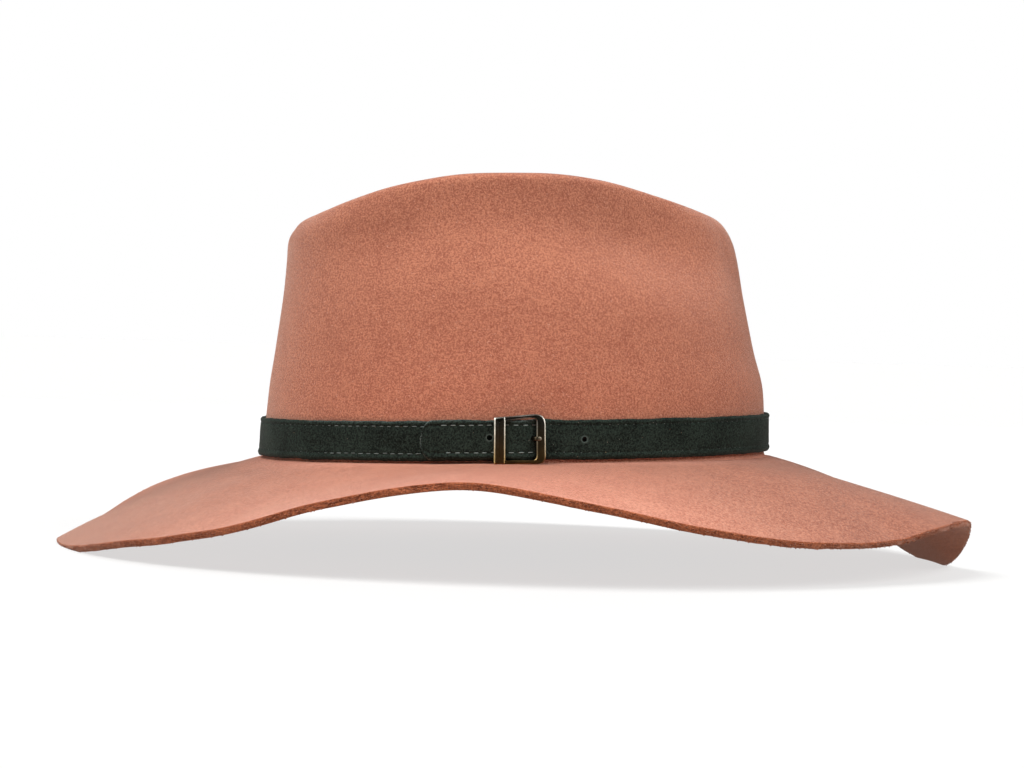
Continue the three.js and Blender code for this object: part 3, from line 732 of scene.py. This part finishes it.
free_hole = (-11, on_top + 0.8, 11.65)
front_hole = (25.5, resting + 0.8, 10.55)
pins = piece(
    "pins",
    pin(free_hole[0], free_hole[2], HOLE_WIDTH, HOLE_WIDTH, 2.3, 4.6),
    pin(front_hole[0], front_hole[2], HOLE_WIDTH, HOLE_WIDTH, -0.5, 3),
    pin(PRONG_ALONG, PRONG_UP, 1.9, 2.2, 2.8, 6.3),
    pin(0.1, PRONG_UP, 5, PRONG_WIDTH + 2.4 * GAP, -0.2, 4.5, corner=12),
)
cut = strap.modifiers.new("punch", "BOOLEAN")
cut.operation, cut.solver, cut.object = "DIFFERENCE", "EXACT", pins
bpy.context.view_layer.update()
evaluated = strap.evaluated_get(bpy.context.evaluated_depsgraph_get())
punched = bpy.data.meshes.new_from_object(evaluated)
strap.modifiers.clear()
strap.data = punched
bpy.data.objects.remove(pins)
punched.shade_smooth()
punched.set_sharp_from_angle(angle=math.radians(38))
print("faces of the punched strap:", len(punched.polygons))
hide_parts("band_strap")
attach(strap, "root")

# %% [markdown]
# ## The stitches
#
# A sewing machine with a stitch length of 3.4 mm ran along both edges. Between two needle holes
# the thread lies in its groove and dives at both ends, so each stitch is a short bowed
# thread. On the free end and just behind its tip they lie high and show long and pale;
# elsewhere the nap half hides them. A few low ones in front of the buckle are tanned.

# %% Stitches
THREAD_RADIUS = 0.17
STITCH_RINGS, STITCH_SIDES = 6, 6
DEEPEST, SHORTEST_STITCH, LONGER_ON_TOP = 0.16, 0.9, 1.5
LAST_STITCH_FROM_TIP = 8.5

seams = []
for edge, start in ((1, FOLD_END + 6), (-1, FOLD_END + 7.5)):
    middles = np.arange(start, TRAVEL_END - LAST_STITCH_FROM_TIP, PITCH)
    seams.append(np.stack([middles, np.full(len(middles), edge)], 1))
seams = np.concatenate(seams)
lower_edge = seams[:, 1] < 0
random = np.random.default_rng(21)
seam_travel = seams[:, 0] + random.normal(0, 0.12, len(seams))
from_edge = np.where(lower_edge, LOWER_SEAM, UPPER_SEAM)
seam_up = seams[:, 1] * STRAP_WIDTH / 2 * (1 - from_edge / SECTION_HALF)
seam_up += random.normal(0, 0.06, len(seams))
place = from_buckle(course(seam_travel)[0])
free_from = TRAVEL_END - FREE_END_LENGTH
shown = ramp(seam_travel, free_from, free_from + 6) * (place < 6)
behind_tip = ramp(place, -82, -74) * (place < -30) * (1 - shown)
raised = np.maximum(shown, behind_tip)
uneven = waves(seams * [1, 50], seed=22, lengths=(18, 90)) * (1 - shown)
sink = DEEPEST + 0.1 * uneven - 0.1 * raised
tanned = lower_edge & (place > 33) & (place < 60)
light = 0.12 + 0.88 * shown + 0.4 * behind_tip + 0.3 * tanned
light = np.clip(light + random.normal(0, 0.1, len(seams)), 0, 1)
stitch_length = SHORTEST_STITCH + LONGER_ON_TOP * raised + random.normal(0, 0.12, len(seams))

share = np.linspace(-1, 1, STITCH_RINGS)[None, :, None]
turn = circle(STITCH_SIDES)[None, None, :]
plump = THREAD_RADIUS * np.sqrt(1 - 0.8 * share ** 2)
bowed = STRAP_THICKNESS / 2 - sink[:, None, None] - 0.3 * share ** 4
thread_travel = seam_travel[:, None, None] + stitch_length[:, None, None] / 2 * share + 0 * turn
stitches = piece("seam_stitches", shell(on_ribbon(
    thread_travel, bowed + plump * np.sin(turn), seam_up[:, None, None] + plump * np.cos(turn))))
for name, value in (("light", light), ("tanned", tanned)):
    on_threads = np.repeat(value, STITCH_RINGS * STITCH_SIDES)
    paint(stitches, name, np.concatenate([on_threads, value, value]))
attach(stitches, "root")
print("stitches:", len(seams))

# %% [markdown]
# ## The buckle
#
# A small brass casting. The left bar is a broad flat plate, the right bar is narrower with
# round corners, and two thin rails join them. All its edges are chamfered, and those chamfers
# are where the dark finish has rubbed through. On the right bar's outer edge, along the top
# rail's lower edge and on the plate's left edge they are painted brighter still: a painted
# highlight. The ring of bars is a section carried round the window: its two loops, outer and
# inner, are rounded boxes with the same number of points.

# %% Buckle frame
FRAME_OUT, FRAME_THICKNESS, CHAMFER = 5.3, 1.5, 0.42
FRAME_LEFT, FRAME_RIGHT, FRAME_BOTTOM = -9.3, 9.6, 1.6
TOP_LEFT, TOP_RIGHT = 19.4, 20.9
WINDOW_LEFT, WINDOW_RIGHT, RAIL = -5.2, 6.2, 1.5
BAR_SIDES = 20
frame_front = FRAME_OUT + FRAME_THICKNESS


def top_at(along):
    """Height of the sloping top rail's upper edge."""
    return TOP_LEFT + (TOP_RIGHT - TOP_LEFT) * (along - FRAME_LEFT) / (FRAME_RIGHT - FRAME_LEFT)


def rounded_box(corners, radii, side_points=10, corner_points=7):
    """Outline with four corners: straight sides, and a quadratic curve through each corner."""
    corners = np.array(corners, float)
    outline = []
    for i in range(4):
        before, here, after = corners[i - 1], corners[i], corners[(i + 1) % 4]
        start = here + unit(before - here) * radii[i]
        end = here + unit(after - here) * radii[i]
        k = np.linspace(0, 1, corner_points)[:, None]
        outline.append((1 - k) ** 2 * start + 2 * k * (1 - k) * here + k ** 2 * end)
        next_start = after + unit(here - after) * radii[(i + 1) % 4]
        k = np.linspace(0, 1, side_points + 2)[1:-1, None]
        outline.append(end + (next_start - end) * k)
    return np.concatenate(outline)


def box_corners(left, right, low, rail):
    """Corners of the frame's outline, or of its window where rail is the rail's width."""
    return [(left, top_at(left) - rail), (left, low), (right, low), (right, top_at(right) - rail)]


def chamfered(outer, inner, back, front, bevel):
    """Section carried round the loops: out over one chamfer, across the face and down again."""
    inward = unit(inner - outer)
    steps = [(0, back + 0.2), (0, front - bevel), (bevel * 0.5, front - bevel * 0.42),
             (bevel, front), (bevel + 0.14, front)]
    rings = [(outer + inward * w, out) for w, out in steps]
    rings += [(inner - inward * w, out) for w, out in steps[::-1]]
    rings += [(inner - inward * 0.2, back), (outer + inward * 0.2, back)]
    return np.stack([on_wall(ring[:, 0], out, ring[:, 1]) for ring, out in rings])


outer = rounded_box(box_corners(FRAME_LEFT + 1, FRAME_RIGHT, FRAME_BOTTOM, 0), [0.6, 0.6, 3, 4.4])
inner = rounded_box(box_corners(WINDOW_LEFT, WINDOW_RIGHT, FRAME_BOTTOM + RAIL, RAIL),
                    [0.5, 0.5, 1.7, 1.7])
bars = chamfered(outer, inner, FRAME_OUT, frame_front - 0.12, CHAMFER)
bars_rubbed = np.array([0.1, 0.7, 1, 0.9, 0.05, 0.05, 0.9, 1, 0.7, 0.1, 0, 0])
# Painted highlight: the chamfers are painted brighter on the right bar's outer edge and along the
# top rail's lower edge than elsewhere.
right_side = ramp(outer[:, 0] - FRAME_RIGHT, -3, -1) * ramp(outer[:, 1], 3, 6)
outer_highlight_share = 0.35 + 0.65 * right_side
inner_highlight_share = 0.2 + 0.4 * ramp(inner[:, 1], 15, 18) * (inner[:, 0] < 4)
bars_highlight_share = np.repeat([outer_highlight_share, inner_highlight_share], [5, 7], axis=0)

plate_edge = rounded_box(box_corners(FRAME_LEFT, WINDOW_LEFT, FRAME_BOTTOM, 0), [0.35] * 4)
plate_middle = plate_edge.mean(0)


def plate_ring(inset, out):
    """The plate's outline drawn in by an inset, at a distance out from the wall."""
    scale = 1 - inset / np.array([(WINDOW_LEFT - FRAME_LEFT) / 2, (TOP_LEFT - FRAME_BOTTOM) / 2])
    points = plate_middle + (plate_edge - plate_middle) * scale
    return on_wall(points[:, 0], out, points[:, 1])


plate_steps = [
    (1.2, FRAME_OUT - 0.1, 0), (0.15, FRAME_OUT - 0.1, 0), (0, FRAME_OUT + 0.1, 0.1),
    (0, frame_front - 0.3, 0.7), (0.2, frame_front - 0.1, 1), (0.42, frame_front + 0.08, 1),
    *[(inset, frame_front + 0.1, 0.05) for inset in (0.58, 1.6, 2.2)],
]
plate = np.stack([plate_ring(inset, out) for inset, out, _ in plate_steps])
plate_rubbed = np.array([rubbed_and_highlight for _, _, rubbed_and_highlight in plate_steps])
from_middle = np.abs(plate_edge - plate_middle) / np.ptp(plate_edge, axis=0) * 2
# Painted highlight: the plate's side edges are painted brighter, the left one most.
plate_highlight_share = np.where(from_middle[:, 0] > 0.93, 1, 0.15)
plate_highlight_share = plate_highlight_share * np.where(plate_edge[:, 0] < -8, 1, 0.75)

rail_middles = (FRAME_BOTTOM + RAIL / 2, top_at(0) - RAIL / 2)
lugs = [pin(0, up, 2.2, RAIL - 0.2, HINGE_OUT - HINGE_RADIUS, frame_front - 0.6, corner=6)
        for up in rail_middles]
turn = circle(BAR_SIDES)
bar_up = np.linspace(*rail_middles, 6)[:, None]
hinge_bar = on_wall(HINGE_RADIUS * np.cos(turn) + 0 * bar_up,
                    HINGE_OUT + HINGE_RADIUS * np.sin(turn), bar_up + 0 * turn)
buckle = piece("buckle_casting", shell(bars[None], looped=True), shell(plate[None]), *lugs,
               shell(hinge_bar[None]), sharp=24)
paint(buckle, "rubbed_and_highlight", np.concatenate([
    (bars_rubbed[:, None] * bars_highlight_share).ravel(),
    (plate_rubbed[:, None] * plate_highlight_share).ravel(), [0, 0],
    *[ring_values(np.zeros(4), 32)] * 2, ring_values(np.zeros(6), BAR_SIDES),
]))
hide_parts("buckle_frame")
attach(buckle, "root")

# %% [markdown]
# ## The prong
#
# A stamped tongue: one end is curled into an eye round the hidden bar, and the arm comes up
# through the strap's hole and lies on the right bar. The arm is a rounded section carried
# along a cubic path, and the eye is a ring.

# %% Prong
PRONG_THICKNESS = 0.9
EYE_INNER, EYE_OUTER, EYE_RINGS = 1, 1.85, 28

lying = frame_front + GAP + PRONG_THICKNESS / 2
arm_stops = np.array([[1.3, 2.95], [2.6, 2.75], [3.9, 2.9], [4.8, 4], [5.15, 5.4], [5.5, 6.7],
                      [6.1, lying], [7, lying + 0.02], [7.8, lying]])
arm_travel = lengths_to(arm_stops)
at = np.linspace(0, 1, 40) * arm_travel[-1]
arm = np.stack([between(at, arm_travel, arm_stops[:, k]) for k in (0, 1)], 1)
arm_ahead = unit(np.gradient(arm, axis=0))
past_end = at - at[-1]
blunt = np.sqrt(1 - np.clip((past_end + 0.8) / 0.85, 0, 1) ** 2)[:, None]
square, high = squared_off(np.cos(turn), 0.5), squared_off(np.sin(turn), 0.5)
flat = high * PRONG_THICKNESS / 2 * blunt
prong_arm = on_wall(
    arm[:, :1] - arm_ahead[:, 1:] * flat,
    arm[:, 1:] + arm_ahead[:, :1] * flat,
    PRONG_UP + square * PRONG_WIDTH / 2 * (0.35 + 0.65 * blunt),
)
around_bar = circle(EYE_RINGS)[:, None]
reach = (EYE_OUTER + EYE_INNER) / 2 + (EYE_OUTER - EYE_INNER) / 2 * square
eye = on_wall(reach * np.cos(around_bar), HINGE_OUT + reach * np.sin(around_bar),
              PRONG_UP + high * PRONG_WIDTH / 2 + 0 * around_bar)
prong = piece("buckle_tongue", shell(prong_arm[None]), shell(eye[None], looped=True), sharp=40)
tip_rubbed = 0.05 + 0.25 * ramp(past_end, -1.6, -0.8)
paint(prong, "rubbed_and_highlight", np.concatenate([
    ring_values(tip_rubbed, BAR_SIDES),
    ring_values(np.full(EYE_RINGS, 0.2), BAR_SIDES, looped=True)]))
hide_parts("buckle_prong")
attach(prong, "root")

# %% [markdown]
# ## Materials
#
# Each material starts from a real one. Colours are written as on a screen and turned to the
# linear values that a shader adds up. Patterns read Object coordinates in metres, so a noise
# of a given grain in millimetres has a scale of 1000 over that grain. A colour is built up in
# layers, each mixed over the last by its share.

# %% Helpers for materials
def linear(hex_code):
    """Screen colour to linear: a channel below 0.04 is divided by 12.92, the rest go by a power."""
    channels = np.array([int(hex_code[i:i + 2], 16) for i in (1, 3, 5)]) / 255
    value = np.where(channels <= 0.04045, channels / 12.92, ((channels + 0.055) / 1.055) ** 2.4)
    return (*value, 1)


def per_mm(grain):
    """Scale of a pattern whose grain is given in millimetres."""
    return 1000 / grain


def feed(tree, node, inputs):
    """Fills a node's inputs; each is a value, a screen colour, or the socket that feeds it."""
    for name, value in inputs.items():
        if isinstance(value, bpy.types.NodeSocket):
            tree.links.new(value, node.inputs[name])
        else:
            node.inputs[name].default_value = linear(value) if isinstance(value, str) else value


def add(tree, kind, inputs=None, **settings):
    """Adds a node with its settings and inputs."""
    node = tree.nodes.new("ShaderNode" + kind)
    for name, value in settings.items():
        setattr(node, name, value)
    feed(tree, node, inputs or {})
    return node


def new_material(name, *pieces):
    """A material with an empty tree and its shader, put on the pieces."""
    material = bpy.data.materials.new(name)
    material.use_nodes = True
    tree = material.node_tree
    tree.nodes.clear()
    shader = add(tree, "BsdfPrincipled")
    feed(tree, add(tree, "OutputMaterial"), {0: shader.outputs[0]})
    for made in pieces:
        made.data.materials.clear()
        made.data.materials.append(material)
    return tree, shader


# %% [markdown]
# ## Blocked wool felt
#
# Wool felt scatters light in a deep mat of fibres: it is fully matt, finely mottled, and a pale
# bloom shows where the nap is seen edge on. Sheen gives the bloom. Single fibres are too fine
# to show, so the mottling is drawn coarser: a noise of 0.75 mm grain on the crown and partly
# 1.25 mm on the brim, over slow clouds, with sparse pale fibre ends. Over the plain wool come
# the layers painted on the shell: painted shade that dulls the brim at front and back, painted
# light that makes the brim's sides and the foot pale, the warmer cut and underside, and painted
# shade that darkens the wool behind the belt.

# %% Felt material
tree, shader = new_material("wool_felt_blocked", felt, tufts)
where = add(tree, "TexCoord").outputs["Object"]
grain, coarse_grain, clouds, drift, ends = (
    add(tree, "TexNoise", {"Vector": where, "Scale": per_mm(size), "Detail": detail,
                           "Roughness": roughness}).outputs[0]
    for size, detail, roughness in ((0.75, 4, 0.8), (1.25, 4, 0.8), (9, 3, 0.5), (60, 2, 0.5),
                                    (0.8, 1, 0.5)))
coarse, painted_shade, painted_light, cut_share, painted_shade_behind_belt = (
    add(tree, "Attribute", attribute_name=name).outputs["Fac"]
    for name in ("coarse", "painted_shade", "painted_light", "cut", "painted_shade_behind_belt"))
fibres = add(tree, "Mix", {0: coarse, 2: grain, 3: coarse_grain}, data_type="FLOAT").outputs[0]
mottle = 0
for part, weight in ((fibres, 0.87), (clouds, 0.08), (drift, 0.05)):
    mottle = add(tree, "Math", {0: part, 1: weight, 2: mottle}, operation="MULTIPLY_ADD").outputs[0]
tone = add(tree, "MapRange", {"Value": mottle, "From Min": 0.44, "From Max": 0.56}).outputs[0]
pale = add(tree, "MapRange", {"Value": ends, "From Min": 0.66, "From Max": 0.76,
                              "To Max": 0.5}).outputs[0]
wool, painted_shade_wool, painted_light_wool, cut_wool = (
    add(tree, "Mix", {0: tone, 6: dark, 7: light}, data_type="RGBA").outputs[2]
    for dark, light in (("#9e5a44", "#c88163"), ("#824a39", "#b4755c"), ("#bf705a", "#eea88f"),
                        ("#884325", "#bd6a42")))
colour = wool
# Painted light and shade: the darker brim pair is painted shade at the brim's front and back, the
# paler pair is painted light beside the head and at the foot, and the near-black layer is painted
# shade on the felt behind the belt.
for share, layer in ((painted_shade, painted_shade_wool), (painted_light, painted_light_wool), (pale, "#dba48c"),
                     (cut_share, cut_wool), (painted_shade_behind_belt, "#2b1d18")):
    colour = add(tree, "Mix", {0: share, 6: colour, 7: layer}, data_type="RGBA").outputs[2]
fuzz = add(tree, "Bump", {"Height": fibres, "Strength": 0.8, "Distance": 0.0005}).outputs[0]
feed(tree, shader, {"Base Color": colour, "Normal": fuzz, "Roughness": 0.85, "IOR": 1.45,
                    "Specular IOR Level": 0.5, "Sheen Weight": 0.75, "Sheen Roughness": 0.28,
                    "Sheen Tint": "#ffe3d4"})

# %% [markdown]
# ## Brushed suede
#
# Suede is leather with its flesh side brushed up to a short nap. It swallows light, so the dye
# looks almost black-green, with a faint grey bloom and bits of pale lint. The nap is drawn
# coarser than it is, with 0.7 mm grain. Lint is the middle of some cells of a Voronoi pattern.
# A paler ring round each punched hole is a painted highlight on its rim. The frayed tip is paler,
# and a pale line along the top edge near the buckle is a painted highlight.

# %% Suede material
tree, shader = new_material("suede_brushed", strap)
where = add(tree, "TexCoord").outputs["Object"]
nap, patches = (
    add(tree, "TexNoise", {"Vector": where, "Scale": per_mm(size), "Detail": detail,
                           "Roughness": roughness}).outputs[0]
    for size, detail, roughness in ((0.7, 4, 0.8), (14, 2, 0.5)))
mottle = 0
for part, weight in ((nap, 0.85), (patches, 0.15)):
    mottle = add(tree, "Math", {0: part, 1: weight, 2: mottle}, operation="MULTIPLY_ADD").outputs[0]
tone = add(tree, "MapRange", {"Value": mottle, "From Min": 0.42, "From Max": 0.59}).outputs[0]
dyed = add(tree, "Mix", {0: tone, 6: "#090e0b", 7: "#2e3a33"}, data_type="RGBA")
lint = add(tree, "TexVoronoi", {"Vector": where, "Scale": per_mm(2.4), "Randomness": 1})
speck = add(tree, "MapRange", {"Value": lint.outputs["Distance"], "From Min": 0.05,
                               "From Max": 0.08, "To Min": 0.6, "To Max": 0})
chosen = add(tree, "SeparateColor", {0: lint.outputs["Color"]})
some = add(tree, "Math", {0: chosen.outputs[0], 1: 0.72}, operation="GREATER_THAN")
lint_share = add(tree, "Math", {0: speck.outputs[0], 1: some.outputs[0]}, operation="MULTIPLY")
lint_colour = add(tree, "Mix", {0: chosen.outputs[1], 6: "#8a6a4e", 7: "#8f9a94"},
                  data_type="RGBA")
layers = [(lint_share.outputs[0], lint_colour.outputs[2])]
# Painted highlight: a paler ring round each hole's rim.
for along, out, up in (free_hole, front_hole):
    hole = tuple(stand(on_wall(along, out, up)))
    away = add(tree, "VectorMath", {0: where, 1: hole}, operation="DISTANCE").outputs["Value"]
    hole_rim_highlight = add(tree, "MapRange", {"Value": away, "From Min": 0.0012, "From Max": 0.0018,
                                 "To Min": 0.55, "To Max": 0})
    layers.append((hole_rim_highlight.outputs[0], "#5d6c66"))
# The frayed tip is painted pale, and a pale line along the top edge near the buckle is a painted
# highlight.
pale_edge = add(tree, "Attribute", attribute_name="pale_edge").outputs["Fac"]
edge_share = add(tree, "Math", {0: pale_edge, 1: tone}, operation="MULTIPLY")
layers.append((edge_share.outputs[0], "#7f8b87"))
colour = dyed.outputs[2]
for share, layer in layers:
    colour = add(tree, "Mix", {0: share, 6: colour, 7: layer}, data_type="RGBA").outputs[2]
fuzz = add(tree, "Bump", {"Height": nap, "Strength": 0.6, "Distance": 0.0003}).outputs[0]
feed(tree, shader, {"Base Color": colour, "Normal": fuzz, "Roughness": 0.9, "IOR": 1.45,
                    "Specular IOR Level": 0.12, "Sheen Weight": 0.1, "Sheen Roughness": 0.4,
                    "Sheen Tint": "#c4cdc6"})

# %% [markdown]
# ## Twisted thread
#
# The thread is polyester of the suede's own green, gone grey where it is rubbed and brown where
# the hand takes the belt. Its plies are finer than the picture can show, so the twist is a
# coarser bump of 0.3 mm grain.

# %% Thread material
tree, shader = new_material("polyester_thread_twisted", stitches)
where = add(tree, "TexCoord").outputs["Object"]
colour = "#27302a"
for name, layer in (("light", "#7d8a86"), ("tanned", "#7d7050")):
    share = add(tree, "Attribute", attribute_name=name).outputs["Fac"]
    colour = add(tree, "Mix", {0: share, 6: colour, 7: layer}, data_type="RGBA").outputs[2]
ply = add(tree, "TexNoise", {"Vector": where, "Scale": per_mm(0.3), "Detail": 1, "Roughness": 0.5})
twist = add(tree, "Bump", {"Height": ply.outputs[0], "Strength": 0.5, "Distance": 0.0001})
feed(tree, shader, {"Base Color": colour, "Normal": twist.outputs[0], "Roughness": 0.55,
                    "IOR": 1.5, "Specular IOR Level": 0.4})

# %% [markdown]
# ## Antiqued metal
#
# Antiquing darkens a plated brass casting all over and then rubs it back, so pale plating shines
# on the edges while the faces stay dark. The pieces carry a number for that, which is high on the
# rings of each chamfer and on the prong's tip, and which is partly a painted highlight where it is
# higher on some edges than on others. Towards the bottom the edges turn yellow brass and the
# faces brown. Fine pits break the bright lines up.

# %% Buckle material
tree, shader = new_material("brass_antiqued_and_rubbed", buckle, prong)
where = add(tree, "TexCoord").outputs["Object"]
pits, tarnish = (
    add(tree, "TexNoise", {"Vector": where, "Scale": per_mm(size), "Detail": detail,
                           "Roughness": roughness}).outputs[0]
    for size, detail, roughness in ((0.7, 3, 0.6), (5, 2, 0.5)))
upward = add(tree, "SeparateXYZ", {0: where}).outputs[2]
low = add(tree, "MapRange", {"Value": upward, "From Min": 0.042, "From Max": 0.058,
                             "To Min": 1, "To Max": 0}).outputs[0]
brown = add(tree, "Math", {0: tarnish, 1: low}, operation="MULTIPLY").outputs[0]
dark, bright = (
    add(tree, "Mix", {0: share, 6: plated, 7: bared}, data_type="RGBA").outputs[2]
    for share, plated, bared in ((brown, "#171813", "#5e4a2a"), (low, "#ece8dc", "#b79a66")))
rubbed_and_highlight = add(tree, "Attribute", attribute_name="rubbed_and_highlight").outputs["Fac"]
worn_edge = add(tree, "MapRange", {"Value": pits, "From Min": 0.3, "From Max": 0.6, "To Min": 0.5,
                                   "To Max": 1}).outputs[0]
bright_share = add(tree, "Math", {0: rubbed_and_highlight, 1: worn_edge}, operation="MULTIPLY").outputs[0]
metal = add(tree, "Mix", {0: bright_share, 6: dark, 7: bright}, data_type="RGBA").outputs[2]
gloss = add(tree, "MapRange", {"Value": pits, "To Min": 0.22, "To Max": 0.42}).outputs[0]
grit = add(tree, "Bump", {"Height": pits, "Strength": 0.25, "Distance": 0.0001}).outputs[0]
feed(tree, shader, {"Base Color": metal, "Roughness": gloss, "Normal": grit, "Metallic": 1})

# %% [markdown]
# ## Floor and light
#
# The photograph was taken on white. So the floor is a sheet of lit white acrylic, as on a product
# table: it glows, and it looks brighter to the camera than to the hat above it. Two large soft
# lamps in front, left and right, are suns of a wide angle, which light floor and hat evenly. A
# white screen behind and white surroundings fill in the shadows. Two tall strips light only the
# metal, and draw the bright lines on its chamfers.

# %% Floor
FLOOR_HALF = 12
floor_mesh = bpy.data.meshes.new("studio_floor")
floor_mesh.from_pydata(
    [(x * FLOOR_HALF, y * FLOOR_HALF, 0) for x, y in ((-1, -1), (1, -1), (1, 1), (-1, 1))],
    [], [(0, 1, 2, 3)])
floor = put("studio_floor", floor_mesh)
tree, shader = new_material("floor_lit_acrylic", floor)
seen_by_camera = add(tree, "LightPath").outputs["Is Camera Ray"]
glow = add(tree, "Mix", {0: seen_by_camera, 6: "#8b8b8b", 7: "#d3d3d3"}, data_type="RGBA")
feed(tree, shader, {"Emission Color": glow.outputs[2], "Emission Strength": 1, "Roughness": 0.9,
                    "Specular IOR Level": 0.1, "Base Color": "#868685"})

# %% Lamps and surroundings
SUNS = (("soft_sun_left", -68, 58, 3.3), ("soft_sun_right", 46, 44, 2.05))
SUN_ANGLE = math.radians(40)
SKY_STRENGTH = 0.14
SCREEN_WIDTH, SCREEN_HEIGHT, SCREEN_AWAY = 3.2, 1.4, 2
SCREEN_RADIANCE = 0.9
STRIP_WIDTH, STRIP_HEIGHT, STRIP_AWAY, STRIP_TURN = 0.9, 1.3, 1.4, math.radians(78)
STRIP_RADIANCE = 3
STRIP_ABOVE_FLOOR = 0.1
ABOVE = np.array([0, 0, 1])


def lamp(name, kind, energy, *axes, **settings):
    """A lamp placed as the camera is; its light goes along the opposite of its third axis."""
    data = bpy.data.lights.new(name, kind)
    for setting, value in {"energy": energy, **settings}.items():
        setattr(data, setting, value)
    made = put(name, data)
    aim(made, *axes)
    return made


def panel(name, radiance, width, height, *axes):
    """Evenly lit rectangle that no camera sees; its power is radiance times pi times area."""
    made = lamp(name, "AREA", radiance * math.pi * width * height, *axes, shape="RECTANGLE",
                size=width, size_y=height)
    made.visible_camera = False
    return made


for name, turn, elevation, strength in SUNS:
    level = np.array([math.sin(math.radians(turn)), -math.cos(math.radians(turn)), 0])
    rise = math.radians(elevation)
    toward_sun = level * math.cos(rise) + ABOVE * math.sin(rise)
    side_of_sun = np.cross(ABOVE, level)
    lamp(name, "SUN", strength, side_of_sun, np.cross(toward_sun, side_of_sun), toward_sun,
         angle=SUN_ANGLE)

panel("white_screen", SCREEN_RADIANCE, SCREEN_WIDTH, SCREEN_HEIGHT, (1, 0, 0), ABOVE, (0, 1, 0),
      (0, SCREEN_AWAY, SCREEN_HEIGHT / 2))

metal_pieces = bpy.data.collections.new("metal_pieces")
for made in (buckle, prong):
    metal_pieces.objects.link(made)
for name, side in (("strip_left", -1), ("strip_right", 1)):
    away = np.array([side * math.sin(STRIP_TURN), -math.cos(STRIP_TURN), 0])
    middle_height = STRIP_ABOVE_FLOOR + STRIP_HEIGHT / 2
    strip = panel(name, STRIP_RADIANCE, STRIP_WIDTH, STRIP_HEIGHT, np.cross(ABOVE, away), ABOVE,
                  away, STRIP_AWAY * away + ABOVE * middle_height)
    strip.light_linking.receiver_collection = metal_pieces

world = bpy.data.worlds.new("white_studio")
bpy.context.scene.world = world
world.use_nodes = True
tree = world.node_tree
tree.nodes.clear()
seen, lit = (add(tree, "Background", {"Color": (1, 1, 1, 1), "Strength": strength}).outputs[0]
             for strength in (1, SKY_STRENGTH))
seen_by_camera = add(tree, "LightPath").outputs["Is Camera Ray"]
sky = add(tree, "MixShader", {0: seen_by_camera, 1: lit, 2: seen})
feed(tree, add(tree, "OutputWorld"), {0: sky.outputs[0]})
bpy.context.scene.view_settings.view_transform = "Standard"
